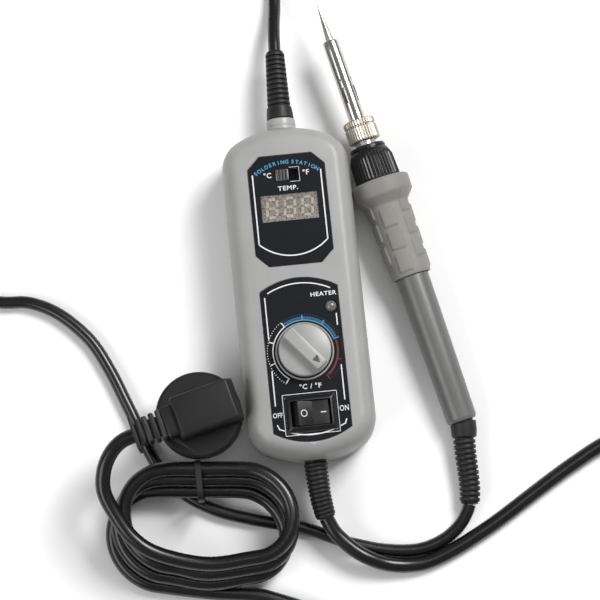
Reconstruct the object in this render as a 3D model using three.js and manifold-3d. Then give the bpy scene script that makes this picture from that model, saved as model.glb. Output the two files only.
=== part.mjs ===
// Hand-held soldering station: a slim control box, its iron, and the two cords.
// Millimetres, +Z up. The origin is the centre of the box's flat back, on the table.
import * as THREE from 'three';
import { mergeVertices } from 'three/addons/utils/BufferGeometryUtils.js';
import Module from 'manifold-3d';

const wasm = await Module();
wasm.setup();

// ---- Driving dimensions ----
const GAP = 0.3;                    // clearance between pieces that touch
const CASE_WIDTH = 55;
const CASE_LENGTH = 145;
const CASE_HEIGHT = 33;
const PARTING = 16;                 // height of the seam between the two shells
const END_RADIUS = 45;              // the arched ends
const CORNER_RADIUS = 13.5;
const WALL = 2.2;
const LABEL_SINK = 0.6;             // depth of the label recesses in the face
const LABEL_WIDTH = 33;
const UPPER_LABEL = { low: 10.2, high: 58.3, chamfer: 5.2 };
const LOWER_LABEL = { low: -61, high: -0.5, bulge: 4.8 };
const WINDOW = { width: 25, height: 12.4, y: 35.4 };
const UNIT_SWITCH = { y: 49.5, slotWidth: 10, slotHeight: 5.6, capWidth: 5.4, rest: -2.0 };
const KNOB = {
  y: -27.5, radius: 11.15, base: 33.9, disc: 38.2, ridge: 42.6, ridgeWidth: 5.6, pointerDeg: -50,
};
const LED = { x: 12.9, y: -9.2, radius: 2.5 };
const ROCKER = { y: -54, bezelWidth: 21, bezelHeight: 15, bodyWidth: 18.6, bodyHeight: 12.6 };
const ROCKER_PADDLE = { radius: 8.2, crown: 3.5, tiltDeg: 12, pivotZ: 30.6, width: 10.4 };
const PCB = { low: 20.4, high: 22, halfWidth: 21, yLow: -40, yHigh: 53 };
const SCREW_PLACES = [[-18, -58], [18, -58], [-18, 58], [18, 58]];
const GLAND_Z = 16;
const GLAND_HOLE = 4.9;

const IRON_HEADING_DEG = 13.05;     // the iron lies turned this far from the box's long axis
const IRON_PITCH_DEG = 3.5;         // it rests on its flange and handle end, tip slightly up
const IRON_BACK_END = new THREE.Vector3(65.1, -60.7, 6.75);
const HANDLE_LENGTH = 66.3;
const GRIP_END = 110.7;
const NIPPLE_END = 126.9;
const NUT_START = 129.3;
const NUT_END = 139.1;
const PIPE_END = 176.7;
const TIP_END = 193.7;
const VENT_TURN = 0.2;              // the four vents start this far round from the top

const IRON_CORD_RADIUS = 2.7;
const MAINS_CORD_RADIUS = 3.2;
const PLUG = { x: -47.3, y: -49, headingDeg: 14, pinLength: 19, discRadius: 18.5, cordZ: 34 };
const IRON_COIL = { x: -27.7, y: 178, inner: 21.6, outer: 33.2, height: 11.2 };
const MAINS_TIE_X = -50;
const MAINS_TIE_LOW = 6.1;          // the tie clears the iron's cord, which runs beneath it
const MAINS_COIL = {
  left: -93.7, right: -9, back: -69.6, front: -123, height: 25.8, low: 0.3,
  holeLeft: -81.7, holeRight: -19, holeBack: -84.6, holeFront: -105.5,
};

// ---- Colours ----
const paint = {
  caseGrey: [0xa7a7a4, 0.55, 0],
  label: [0x15161a, 0.45, 0],
  black: [0x1b1b1d, 0.5, 0],
  knob: [0x9b9b9a, 0.5, 0],
  rubber: [0x2a2a2c, 0.75, 0],
  ferrule: [0xa9aaa8, 0.45, 0],
  grip: [0x7e7f76, 0.85, 0],
  handle: [0x696a6b, 0.5, 0],
  steel: [0xc9c8c4, 0.2, 1],
  nickel: [0xb9a994, 0.35, 1],
  brass: [0xb89a58, 0.35, 1],
  window: [0x8c8478, 0.2, 0],
  board: [0x2f6b3c, 0.6, 0],
  ceramic: [0xe6e2d8, 0.6, 0],
  glass: [0xd0d4d6, 0.1, 0],
  yellow: [0xc9a94a, 0.6, 0],
};

// ---- Solid helpers ----
function toManifold(geometry) {
  const bare = geometry.index ? geometry.toNonIndexed() : geometry.clone();
  bare.deleteAttribute('normal');
  bare.deleteAttribute('uv');
  const merged = mergeVertices(bare, 1e-4);
  return new wasm.Manifold(new wasm.Mesh({
    numProp: 3,
    vertProperties: new Float32Array(merged.attributes.position.array),
    triVerts: new Uint32Array(merged.index.array),
  }));
}

function toGeometry(manifold) {
  const mesh = manifold.getMesh();
  const geometry = new THREE.BufferGeometry();
  const corners = [];
  for (let i = 0; i < mesh.vertProperties.length; i += mesh.numProp) {
    corners.push(mesh.vertProperties[i], mesh.vertProperties[i + 1], mesh.vertProperties[i + 2]);
  }
  geometry.setAttribute('position', new THREE.Float32BufferAttribute(corners, 3));
  geometry.setIndex([...mesh.triVerts]);
  return geometry;
}

function cut(body, ...tools) {
  return toGeometry(tools.reduce((solid, tool) => solid.subtract(toManifold(tool)), toManifold(body)));
}

function join(body, ...others) {
  return toGeometry(others.reduce((solid, other) => solid.add(toManifold(other)), toManifold(body)));
}

function box(width, depth, low, high, x = 0, y = 0) {
  return new THREE.BoxGeometry(width, depth, high - low).translate(x, y, (low + high) / 2);
}

// A round bar along Z from low to high.
function bar(radius, low, high, x = 0, y = 0, sides = 32) {
  const geometry = new THREE.CylinderGeometry(radius, radius, high - low, sides);
  return geometry.rotateX(Math.PI / 2).translate(x, y, (low + high) / 2);
}

// A turned piece: profile is a list of [radius, height], turned about Z.
function turned(profile, sides = 32) {
  const points = profile.map(([radius, height]) => new THREE.Vector2(radius, height));
  return new THREE.LatheGeometry(points, sides).rotateX(Math.PI / 2);
}

function closed(profile) {
  return [...profile, profile[0]];
}

function extrude(shape, low, high, curveSegments = 10) {
  const settings = { depth: high - low, bevelEnabled: false, curveSegments };
  return new THREE.ExtrudeGeometry(shape, settings).translate(0, 0, low);
}

function polygon(points) {
  return new THREE.Shape(points.map(([x, y]) => new THREE.Vector2(x, y)));
}

// Skin over a stack of equal-length loops of points, closed by a flat cap at each end.
function skin(loops) {
  const count = loops[0].length;
  const corners = loops.flat().flatMap((p) => [p.x, p.y, p.z]);
  const faces = [];
  for (let ring = 0; ring + 1 < loops.length; ring += 1) {
    for (let i = 0; i < count; i += 1) {
      const a = ring * count + i;
      const b = ring * count + (i + 1) % count;
      faces.push(a, b, b + count, a, b + count, a + count);
    }
  }
  const last = (loops.length - 1) * count;
  for (let i = 1; i + 1 < count; i += 1) {
    faces.push(0, i + 1, i);
    faces.push(last, last + i, last + i + 1);
  }
  const geometry = new THREE.BufferGeometry();
  geometry.setAttribute('position', new THREE.Float32BufferAttribute(corners, 3));
  geometry.setIndex(faces);
  return geometry;
}

// ---- The case's outline, drawn inward by inset ----
function caseOutline(inset) {
  const endCentre = CASE_LENGTH / 2 - END_RADIUS;
  const cornerX = CASE_WIDTH / 2 - CORNER_RADIUS;
  const cornerY = endCentre + Math.sqrt((END_RADIUS - CORNER_RADIUS) ** 2 - cornerX ** 2);
  const blend = Math.atan2(cornerY - endCentre, cornerX);
  const quarter = [];
  const cornerSteps = 5;
  const endSteps = 4;
  for (let i = 0; i <= cornerSteps; i += 1) {
    const angle = blend * i / cornerSteps;
    const radius = CORNER_RADIUS - inset;
    quarter.push([cornerX + radius * Math.cos(angle), cornerY + radius * Math.sin(angle)]);
  }
  for (let i = 1; i <= endSteps; i += 1) {
    const angle = blend + (Math.PI / 2 - blend) * i / endSteps;
    const radius = END_RADIUS - inset;
    quarter.push([radius * Math.cos(angle), endCentre + radius * Math.sin(angle)]);
  }
  const left = quarter.slice(0, -1).reverse().map(([x, y]) => [-x, y]);
  const top = [...quarter, ...left];
  return [...top, ...top.map(([x, y]) => [-x, -y])];
}

function caseStack(sections) {
  return skin(sections.map(([inset, z]) => caseOutline(inset).map(([x, y]) => new THREE.Vector3(x, y, z))));
}

// ---- Box pieces ----
function upperLabelShape(grow) {
  const half = LABEL_WIDTH / 2 + grow;
  const low = UPPER_LABEL.low - grow;
  const high = UPPER_LABEL.high + grow;
  const c = UPPER_LABEL.chamfer;
  return polygon([
    [-half, low + c], [-half + c, low], [half - c, low], [half, low + c],
    [half, high - c], [half - c, high], [-half + c, high], [-half, high - c],
  ]);
}

function lowerLabelShape(grow) {
  const half = LABEL_WIDTH / 2 + grow;
  const bulge = LOWER_LABEL.bulge;
  const radius = (half * half + bulge * bulge) / (2 * bulge);
  const spread = Math.asin(half / radius);
  const shape = new THREE.Shape();
  const upperCentre = LOWER_LABEL.high + grow + bulge - radius;
  const lowerCentre = LOWER_LABEL.low - grow - bulge + radius;
  const quarter = Math.PI / 2;
  shape.absarc(0, upperCentre, radius, quarter - spread, quarter + spread);
  shape.absarc(0, lowerCentre, radius, -quarter - spread, -quarter + spread);
  return shape;
}

function slotBox(width, height, y, low, high) {
  return box(width, height, low, high, 0, y);
}

function caseFront() {
  const shell = caseStack([
    [0, PARTING + GAP / 2], [0, 22], [0.5, 26], [1.8, 29.3], [4, 31.9], [6.8, CASE_HEIGHT],
  ]);
  const hollow = caseStack([[WALL, PARTING - 1], [WALL + 0.2, 22], [4.4, 27.8], [8.4, CASE_HEIGHT - 2.4]]);
  const posts = SCREW_PLACES.map(([x, y]) => bar(3.4, PARTING + GAP / 2, 31, x, y, 20));
  const boardPosts = [[-18, -37], [18, -37], [-18.5, 22], [18.5, 22]]
    .map(([x, y]) => bar(1.6, PCB.high + GAP, 31, x, y, 12));
  const screwHoles = SCREW_PLACES.map(([x, y]) => bar(1.55, PARTING - 1, 28, x, y, 16));
  return cut(
    join(cut(shell, hollow), ...posts, ...boardPosts),
    ...screwHoles,
    extrude(upperLabelShape(0.3), CASE_HEIGHT - LABEL_SINK, CASE_HEIGHT + 1),
    extrude(lowerLabelShape(0.3), CASE_HEIGHT - LABEL_SINK, CASE_HEIGHT + 1),
    slotBox(WINDOW.width + 0.6, WINDOW.height + 0.6, WINDOW.y, 28, 34),
    slotBox(UNIT_SWITCH.slotWidth, UNIT_SWITCH.slotHeight, UNIT_SWITCH.y, 28, 34),
    slotBox(ROCKER.bodyWidth + 0.6, ROCKER.bodyHeight + 0.6, ROCKER.y, 28, 34),
    bar(4, 28, 34, 0, KNOB.y),
    bar(LED.radius + 0.4, 28, 34, LED.x, LED.y, 24),
    bar(GLAND_HOLE, -80, 80, 0, 0, 24).rotateX(Math.PI / 2).translate(0, 0, GLAND_Z),
  );
}

function caseBack() {
  const shell = caseStack([[3, 0], [1.4, 1.2], [0.4, 3.5], [0, 7], [0, PARTING - GAP / 2]]);
  const hollow = caseStack([[5, WALL], [2.6, 5], [WALL, 8], [WALL, PARTING + 1]]);
  const posts = SCREW_PLACES.map(([x, y]) => bar(4.3, 1, PARTING - GAP / 2, x, y, 20));
  const shankHoles = SCREW_PLACES.map(([x, y]) => bar(1.6, -1, PARTING + 1, x, y, 16));
  const headHoles = SCREW_PLACES.map(([x, y]) => bar(3.1, -1, 3, x, y, 20));
  return cut(
    join(cut(shell, hollow), ...posts),
    ...shankHoles,
    ...headHoles,
    bar(GLAND_HOLE, -80, 80, 0, 0, 24).rotateX(Math.PI / 2).translate(0, 0, GLAND_Z),
  );
}

function caseScrew() {
  const body = turned([[0, 0.6], [2.8, 0.6], [2.8, 2.6], [1.25, 2.7], [1.25, 25], [0, 26.5]], 16);
  const drive = [box(3.4, 0.8, 0, 1.6), box(0.8, 3.4, 0, 1.6)];
  return cut(body, ...drive);
}

function upperLabel() {
  return cut(
    extrude(upperLabelShape(0), 32.7, CASE_HEIGHT + 0.05),
    slotBox(WINDOW.width - 0.6, WINDOW.height - 0.6, WINDOW.y, 32, 34),
    slotBox(UNIT_SWITCH.slotWidth - 0.4, UNIT_SWITCH.slotHeight - 0.4, UNIT_SWITCH.y, 32, 34),
  );
}

function lowerLabel() {
  return cut(
    extrude(lowerLabelShape(0), 32.7, CASE_HEIGHT + 0.05),
    slotBox(ROCKER.bezelWidth + 0.6, ROCKER.bezelHeight + 0.6, ROCKER.y, 32, 34),
    bar(3.8, 32, 34, 0, KNOB.y),
    bar(LED.radius + 0.3, 32, 34, LED.x, LED.y, 24),
  );
}

function tempKnob() {
  const disc = turned([[0, KNOB.base], [10.6, KNOB.base], [KNOB.radius, 34.6], [KNOB.radius, 37.6],
    [10.5, KNOB.disc], [0, KNOB.disc]], 36);
  const inside = 2 * Math.sqrt(10.4 ** 2 - (KNOB.ridgeWidth / 2) ** 2);
  const ridge = box(inside, KNOB.ridgeWidth, KNOB.disc - 0.5, KNOB.ridge);
  const arrow = extrude(polygon([[6, -1.5], [8.8, 0], [6, 1.5]]), KNOB.ridge - 0.5, KNOB.ridge + 1);
  const turn = THREE.MathUtils.degToRad(KNOB.pointerDeg);
  const socket = bar(3.3, KNOB.base - 1, 38, 0, 0, 24);
  return cut(join(disc, ridge), arrow, socket).rotateZ(turn);
}

function potBody() {
  const body = join(box(15, 13, PCB.high + GAP, 28), bar(4.2, 27, 30, 0, 0, 24));
  return cut(body, bar(3.3, 24, 31, 0, 0, 24));
}

function heaterLed() {
  const r = LED.radius;
  const dome = [[r, 32.2], [r * 0.92, 33.4], [r * 0.7, 34.2], [r * 0.38, 34.6], [0, 34.7]];
  const lamp = turned([[0, 26.5], [2.8, 26.5], [2.8, 27.5], [r, 27.5], ...dome], 20);
  const legs = [-1.27, 1.27].map((x) => box(0.5, 0.5, PCB.high + GAP, 27, x));
  return join(lamp, ...legs);
}

function rockerHousing() {
  const top = 35.1;
  const frame = skin([[0, 32.7], [0, 34.1], [1.2, top]].map(([inset, z]) => {
    const x = ROCKER.bezelWidth / 2 - inset;
    const y = ROCKER.bezelHeight / 2 - inset;
    return [[x, y], [-x, y], [-x, -y], [x, -y]].map(([px, py]) => new THREE.Vector3(px, py, z));
  }));
  const tub = box(ROCKER.bodyWidth, ROCKER.bodyHeight, 18, 33);
  return cut(join(frame, tub), box(17, 11, 20.5, 36));
}

// The paddle turns about Y through its pivot; it is drawn tipped, with its +X side pressed.
function rockerPaddle() {
  const { radius, crown, tiltDeg, width } = ROCKER_PADDLE;
  const slope = Math.tan(THREE.MathUtils.degToRad(tiltDeg));
  const a = 1 + slope * slope;
  const b = 2 * crown * slope;
  const c = crown * crown - radius * radius;
  const reach = (-b + Math.sqrt(b * b - 4 * a * c)) / (2 * a);
  const points = [[0, crown], [-reach, crown + slope * reach]];
  for (let i = 1; i < 8; i += 1) {
    const angle = Math.PI + i * Math.PI / 8;
    const level = Math.sin(angle) * radius;
    points.push([Math.cos(angle) * radius, Math.max(level, -5.5)]);
  }
  points.push([reach, crown + slope * reach]);
  const shape = polygon(points.reverse());
  const geometry = extrude(shape, -width / 2, width / 2).rotateX(Math.PI / 2);
  return geometry.rotateY(THREE.MathUtils.degToRad(tiltDeg)).translate(0, 0, ROCKER_PADDLE.pivotZ);
}

// ---- Ribbed strain reliefs: rings of given radius along a smooth line ----
function along(points, profile, sides = 10) {
  const curve = new THREE.CatmullRomCurve3(points, false, 'centripetal');
  curve.arcLengthDivisions = 400;
  const length = curve.getLength();
  const up = new THREE.Vector3(0, 0, 1);
  return skin(profile.map(([distance, radius]) => {
    const place = Math.min(distance / length, 1);
    const centre = curve.getPointAt(place);
    const tangent = curve.getTangentAt(place);
    const side = new THREE.Vector3().crossVectors(up, tangent).normalize();
    const top = new THREE.Vector3().crossVectors(tangent, side);
    return Array.from({ length: sides }, (_, i) => {
      const angle = 2 * Math.PI * i / sides;
      return centre.clone()
        .addScaledVector(side, radius * Math.cos(angle))
        .addScaledVector(top, radius * Math.sin(angle));
    });
  }));
}

function ribs(start, end, firstRadius, lastRadius, count, depth) {
  const pitch = (end - start) / count;
  const profile = [];
  for (let i = 0; i < count; i += 1) {
    const radius = firstRadius + (lastRadius - firstRadius) * i / (count - 1);
    const foot = start + i * pitch;
    profile.push([foot + 0.05 * pitch, radius - depth], [foot + 0.3 * pitch, radius]);
    profile.push([foot + 0.8 * pitch, radius], [foot + 0.99 * pitch, radius - depth]);
  }
  return profile;
}

const ironGlandLine = [[0, 66, 16], [0, 76, 16], [0, 85, 16], [0.2, 96, 15.4], [0.6, 109.5, 13.6]];
const mainsGlandLine = [[0, -66, 16], [0, -74, 16], [0.2, -81, 15.6], [0.8, -89, 14], [2.1, -96.6, 11.6]];

function vectors(list) {
  return list.map(([x, y, z]) => new THREE.Vector3(x, y, z));
}

function ironGland() {
  return along(vectors(ironGlandLine), [
    [0.2, 4.6], [0.8, 6.2], [3.6, 6.2], [4, 4.6], [12.1, 4.6], [12.2, 5.9], [17.8, 5.4],
    ...ribs(18.2, 43, 5, 4.2, 11, 0.75), [43.6, 3.6],
  ]);
}

function mainsGland() {
  return along(vectors(mainsGlandLine), [
    [0.2, 4.6], [0.8, 6.2], [3.6, 6.2], [4, 4.6], [7.1, 4.6], [7.2, 5],
    ...ribs(7.4, 30.4, 5, 4.4, 13, 0.7), [31, 3.9],
  ]);
}

function glandFerrule() {
  return turned(closed([[5, 0], [6.45, 0], [6.35, 4.4], [6.0, 4.9], [5, 4.9]]), 24)
    .rotateX(-Math.PI / 2).translate(0, 72.9, GLAND_Z);
}

// ---- The iron, drawn along its own +Z with the cord end at 0 and the tip at the top ----
function handleTube() {
  return turned(closed([[5.2, 0], [6.2, 0], [6.65, 1.2], [7.3, HANDLE_LENGTH], [6.9, HANDLE_LENGTH + 1],
    [6.9, 104], [5.2, 104]]), 24);
}

function gripSleeve() {
  return turned(closed([[7.7, 66.6], [8.1, 66.6], [8.7, 68], [9.9, 99.2], [12.9, 103.9],
    [13.1, GRIP_END - 0.8], [12.5, GRIP_END], [7.7, GRIP_END]]), 28);
}

function nipple() {
  return turned(closed([[5.1, 104.3], [6.8, 104.3], [6.8, 111], [10, 111], [9.7, 121.5], [8.3, 124.6],
    [7.9, 125.2], [7.9, NIPPLE_END - 0.5], [7.4, NIPPLE_END], [5.1, NIPPLE_END]]), 24);
}

function threadSleeve() {
  return turned(closed([[3.3, 107], [4.6, 107], [4.6, 136.5], [3.3, 136.5]]), 20);
}

function tipNut() {
  const body = turned(closed([[4.95, NUT_START], [6.5, NUT_START], [7.05, NUT_START + 0.6],
    [7.05, NUT_END - 0.8], [6.4, NUT_END], [3.98, NUT_END], [3.98, 137.8], [4.95, 137.8]]), 32);
  const grooves = [];
  for (let i = 0; i < 16; i += 1) {
    const groove = box(0.7, 0.7, NUT_START - 1, NUT_END + 1).rotateZ(Math.PI / 4).translate(7.25, 0, 0);
    grooves.push(groove.rotateZ(2 * Math.PI * i / 16));
  }
  return cut(body, ...grooves);
}

function enclosurePipe() {
  const pipe = turned(closed([[3.2, 136.8], [4.65, 136.8], [4.65, 137.4], [3.66, 137.5],
    [3.56, PIPE_END - 0.7], [3.1, PIPE_END], [2.1, PIPE_END], [2.1, PIPE_END - 0.7],
    [3.1, PIPE_END - 0.8]]), 20);
  const vents = [];
  for (let i = 0; i < 4; i += 1) {
    const slot = bar(1, -6, 6, 0, 0, 10).scale(1, 3.7, 1).rotateX(Math.PI / 2).translate(0, -6.2, 151);
    vents.push(slot.rotateZ(i * Math.PI / 2 - VENT_TURN));
  }
  return cut(pipe, ...vents);
}

function solderingTip() {
  const outside = turned([[0, 146], [2.75, 146], [2.75, PIPE_END - 1.2], [1.75, PIPE_END - 1.1],
    [1.75, PIPE_END + 0.8], [0.35, TIP_END - 0.4], [0, TIP_END]], 20);
  return cut(outside, bar(2.15, 140, 170, 0, 0, 20));
}

function heaterElement() {
  return turned([[0, 98], [1.85, 98], [1.85, 107], [3, 107], [3, 112], [1.85, 112], [1.85, 168.5],
    [1.2, 169.2], [0, 169.2]], 16);
}

function ironRelief(axis) {
  const end = IRON_BACK_END;
  const line = [
    end.clone().addScaledVector(axis, 8),
    end.clone().addScaledVector(axis, 3),
    end.clone().addScaledVector(axis, -0.6),
    new THREE.Vector3(65.35, -64.4, 6.5),
    new THREE.Vector3(65.05, -68.8, 6.2),
    new THREE.Vector3(64.95, -75.4, 5.8),
    new THREE.Vector3(65.2, -84.1, 5.3),
    new THREE.Vector3(65.1, -90.5, 5),
    new THREE.Vector3(64.3, -96.6, 4.75),
  ];
  return along(line, [
    [0, 4.2], [0.5, 4.6], [8.6, 4.6], [8.7, 5.7], [15, 5.4], [15.4, 4.2],
    ...ribs(15.8, 43, 4.7, 4.4, 12, 0.7), [43.8, 4.1],
  ]);
}

// ---- Cords: plain tubes along their routes, and one solid for each coil ----
function cordTube(points, radius, steps, sides = 8) {
  const section = new THREE.Shape();
  section.absarc(0, 0, radius, 0, 2 * Math.PI);
  const path = new THREE.CatmullRomCurve3(vectors(points), false, 'centripetal');
  return new THREE.ExtrudeGeometry(section, {
    steps, curveSegments: sides / 2, bevelEnabled: false, extrudePath: path,
  });
}

const CHANNEL_START = 18;           // the iron cord's points that lie under the mains coil
const CHANNEL_END = 31;
const ironCordFromGland = [
  [0.62, 110.2, 13.5], [0.9, 116, 12.1], [1.6, 124, 8.9], [2.6, 132, 5.6], [3.4, 140, 3.5],
  [3.8, 148, 2.8], [4, 157.5, 2.8],
];
const ironCordToIron = [
  [-62, 197, 3.6], [-75, 191.5, 2.8], [-92, 184.5, 2.8], [-110, 176.5, 2.8], [-128, 166, 2.8],
  [-142, 151, 2.8], [-149.5, 132, 2.8], [-152.5, 110, 2.8], [-153.5, 85, 2.8], [-154, 60, 2.8],
  [-153, 40, 2.8], [-148.5, 25, 2.8], [-140, 15.5, 2.8], [-129, 12, 2.8], [-117, 10.6, 2.8],
  [-104.4, 4, 2.8], [-92.3, -8.4, 2.8], [-84.8, -22.5, 2.8], [-79.4, -36.3, 2.8], [-75, -48, 2.8],
  [-70.3, -61.3, 2.8], [-64.6, -71.6, 2.8], [-55.7, -81, 2.8], [-44, -88.2, 2.8], [-30.7, -93, 2.8],
  [-17.7, -96.6, 2.8], [-6.8, -99.7, 2.8], [2.9, -104, 2.8], [9.3, -107, 2.8], [17.7, -109.9, 2.8],
  [25.2, -112, 2.8], [36, -113.5, 2.8], [44.3, -112.9, 2.8], [53, -109.6, 2.8], [59.6, -104.5, 3.6],
  [63, -99.6, 4.5], [64.1, -97.2, 4.7],
];
const mainsCordOut = [
  [2.3, -97.2, 11.4], [5, -102.8, 10.4], [8.8, -107.4, 9.6], [13.4, -111.8, 8.8], [18.8, -115.4, 7.8],
  [26, -118.4, 5.4], [34.8, -119.8, 3.8], [44, -119.2, 3.3], [55.4, -115.2, 3.3], [66.8, -109.6, 3.3],
  [77, -104, 3.3], [92, -94.8, 3.3], [102.9, -88.2, 3.3], [113.2, -82.4, 3.3], [123.5, -77.1, 3.3],
  [134, -73.4, 3.3], [146, -72.8, 3.3], [156.5, -78, 3.3], [163.5, -88, 3.3], [165.5, -101, 3.3],
  [163, -114.5, 3.3], [156.5, -127.5, 3.3], [146, -139, 3.3], [132, -147, 3.3], [114, -151, 3.3],
  [94, -152, 3.3], [72, -151.6, 3.3], [48, -150.2, 3.3], [26, -147.2, 3.3], [6, -141, 3.3],
  [-12, -133.2, 3.3], [-22, -129.6, 3.3], [-32, -127.3, 3.3],
];
const mainsLead = [
  [-75.55, -56.05, 34], [-80.4, -57.8, 33.8], [-85.2, -61.9, 32.8], [-88.6, -67.9, 31.2],
  [-89.9, -74.6, 29.2],
];

function ironCoil() {
  const { x, y, inner, outer, height } = IRON_COIL;
  const ring = turned(closed([[inner, 0], [outer, 0], [outer, height], [inner, height]]), 32);
  const strapPass = box(5, outer - inner + 4, -1, 2, 0, (inner + outer) / 2);
  return cut(ring, strapPass).translate(x, y, 0);
}

function stadium(left, right, back, front) {
  const radius = (back - front) / 2;
  const middle = (back + front) / 2;
  const shape = new THREE.Shape();
  shape.absarc(right - radius, middle, radius, -Math.PI / 2, Math.PI / 2);
  shape.absarc(left + radius, middle, radius, Math.PI / 2, 1.5 * Math.PI);
  return shape;
}

// The iron's cord passes under the mains coil, so the coil's solid has a channel for it.
function mainsCoil() {
  const c = MAINS_COIL;
  const ring = stadium(c.left, c.right, c.back, c.front);
  ring.holes.push(stadium(c.holeLeft, c.holeRight, c.holeBack, c.holeFront));
  const underneath = ironCordToIron.slice(CHANNEL_START, CHANNEL_END).map(([x, y]) => [x, y, 0]);
  const channel = new THREE.ExtrudeGeometry(polygon([[-6.4, -3.5], [6.4, -3.5], [6.4, 3.5], [-6.4, 3.5]]), {
    steps: 30,
    bevelEnabled: false,
    extrudePath: new THREE.CatmullRomCurve3(vectors(underneath), false, 'centripetal'),
  });
  const tieY = (c.back + c.holeBack) / 2;
  const strapPass = box(5, c.back - c.holeBack + 6, -1, MAINS_TIE_LOW + 1.5, MAINS_TIE_X, tieY);
  return cut(extrude(ring, c.low, c.height, 12), channel, strapPass);
}

// A flat strap closed round a bundle: depth across the bundle, low to high, one wall thick.
function strap(depth, low, high, strapWidth) {
  const wall = 1.2;
  const half = depth / 2;
  const shape = polygon([[-half, low], [half, low], [half, high], [-half, high]]);
  const inner = [[-half + wall, low + wall], [-half + wall, high - wall]];
  shape.holes.push(polygon([...inner, [half - wall, high - wall], [half - wall, low + wall]]));
  const across = extrude(shape, -strapWidth / 2, strapWidth / 2).rotateX(Math.PI / 2);
  return across.rotateZ(Math.PI / 2);
}

// ---- The plug, drawn standing on its pins with the cord leaving along -X ----
function plugBody() {
  const { pinLength, discRadius, cordZ } = PLUG;
  const disc = turned([[0, pinLength], [discRadius - 1, pinLength], [discRadius, pinLength + 1],
    [discRadius, pinLength + 7], [discRadius - 1.2, pinLength + 8], [0, pinLength + 8]], 32);
  const side = polygon([[-10, 26], [17.6, 26], [17.8, 38], [15.5, 43], [-9, 43.4], [-10, 42]]);
  const block = extrude(side, -8.75, 8.75).rotateX(Math.PI / 2);
  const shoulder = box(6, 13, 27, 41, -12);
  const core = box(18, 7.6, cordZ - 4.6, cordZ + 4.6, -19);
  const guard = box(1.6, 15, cordZ - 6.8, cordZ + 6.8, -28);
  const plates = [];
  for (let i = 0; i < 4; i += 1) {
    const half = 6.2 - 0.3 * i;
    plates.push(box(2.2, 2 * half, cordZ - half, cordZ + half, -16.2 - 3.1 * i));
  }
  const pinBores = [-9.5, 9.5].map((y) => bar(2.7, 10, pinLength + 5.3, 0, y, 20));
  const clipNotches = [-1, 1].map((s) => box(3, 7, 10, pinLength + 7, s * 18));
  return cut(join(disc, block, shoulder, core, guard, ...plates), ...pinBores, ...clipNotches);
}

function plugPin() {
  return turned([[0, 0], [1.5, 0.1], [2.4, 1.6], [2.4, 24], [0, 24]], 20);
}

// ---- Assembly ----
const station = new THREE.Group();

function add(parent, name, geometry, look, x = 0, y = 0, z = 0) {
  const [color, roughness, metalness] = paint[look];
  const mesh = new THREE.Mesh(geometry, new THREE.MeshStandardMaterial({ color, roughness, metalness }));
  mesh.name = name;
  mesh.position.set(x, y, z);
  parent.add(mesh);
  return mesh;
}

function addControlBox(group) {
  add(group, 'case_front', caseFront(), 'caseGrey');
  add(group, 'case_back', caseBack(), 'caseGrey');
  SCREW_PLACES.forEach(([x, y], i) => add(group, `case_screw_${i + 1}`, caseScrew(), 'steel', x, y));
  add(group, 'upper_label', upperLabel(), 'label');
  add(group, 'lower_label', lowerLabel(), 'label');
  add(group, 'display_window', slotBox(WINDOW.width, WINDOW.height, WINDOW.y, 31.2, 32.4), 'window');
  add(group, 'temp_knob', tempKnob(), 'knob', 0, KNOB.y);
  add(group, 'knob_ring', turned(closed([[11.6, 33.35], [12.4, 33.35], [12.2, 34.3], [11.7, 34.3]]), 36),
    'ferrule', 0, KNOB.y);
  add(group, 'heater_led', heaterLed(), 'glass', LED.x, LED.y);
  add(group, 'rocker_housing', rockerHousing(), 'black', 0, ROCKER.y);
  add(group, 'rocker_paddle', rockerPaddle(), 'black', 0, ROCKER.y);
  add(group, 'gland_ferrule', glandFerrule(), 'ferrule');
  add(group, 'iron_cord_gland', ironGland(), 'rubber');
  add(group, 'mains_cord_gland', mainsGland(), 'rubber');
}

function addElectronics(group) {
  const width = 2 * PCB.halfWidth;
  const middle = (PCB.yLow + PCB.yHigh) / 2;
  add(group, 'main_board', box(width, PCB.yHigh - PCB.yLow, PCB.low, PCB.high, 0, middle), 'board');
  add(group, 'display_module', box(24.4, 12, PCB.high + GAP, 30.8, 0, WINDOW.y), 'black');
  const switchCase = cut(box(13, 6.4, PCB.high + GAP, 28), box(8.2, 3.8, 25.4, 29));
  add(group, 'unit_switch_body', switchCase, 'steel', 0, UNIT_SWITCH.y);
  const cap = join(box(3.4, 3.2, 25.7, 31.5), box(UNIT_SWITCH.capWidth, 4.6, 31, 34.2));
  const grips = [-1.8, -0.6, 0.6, 1.8].map((x) => box(0.5, 6, 33.5, 35, x));
  add(group, 'unit_switch_slider', cut(cap, ...grips), 'black', UNIT_SWITCH.rest, UNIT_SWITCH.y);
  add(group, 'pot_body', potBody(), 'steel', 0, KNOB.y);
  add(group, 'pot_shaft', bar(3, 24.3, 37.7, 0, 0, 24), 'nickel', 0, KNOB.y);
  for (let i = 0; i < 4; i += 1) {
    const x = i % 2 ? 6 : -6;
    const y = i < 2 ? -3 : 3;
    add(group, `rocker_terminal_${i + 1}`, box(0.8, 4.8, 9.5, 17.7), 'brass', x, ROCKER.y + y);
  }
  const under = PCB.low - GAP;
  add(group, 'control_chip', box(8, 26, under - 3.4, under), 'black', -10, 6);
  add(group, 'triac', box(10, 4.4, under - 14, under), 'black', 10, 24);
  add(group, 'dropper_capacitor', box(9, 18, under - 12, under), 'yellow', 12, -2);
  add(group, 'fuse', bar(2.6, -10, 10, 0, 0, 16).rotateX(Math.PI / 2), 'glass', 2, -24, 17);
  add(group, 'iron_connector', box(14, 6, under - 9, under), 'ceramic', 0, 46);
}

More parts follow.
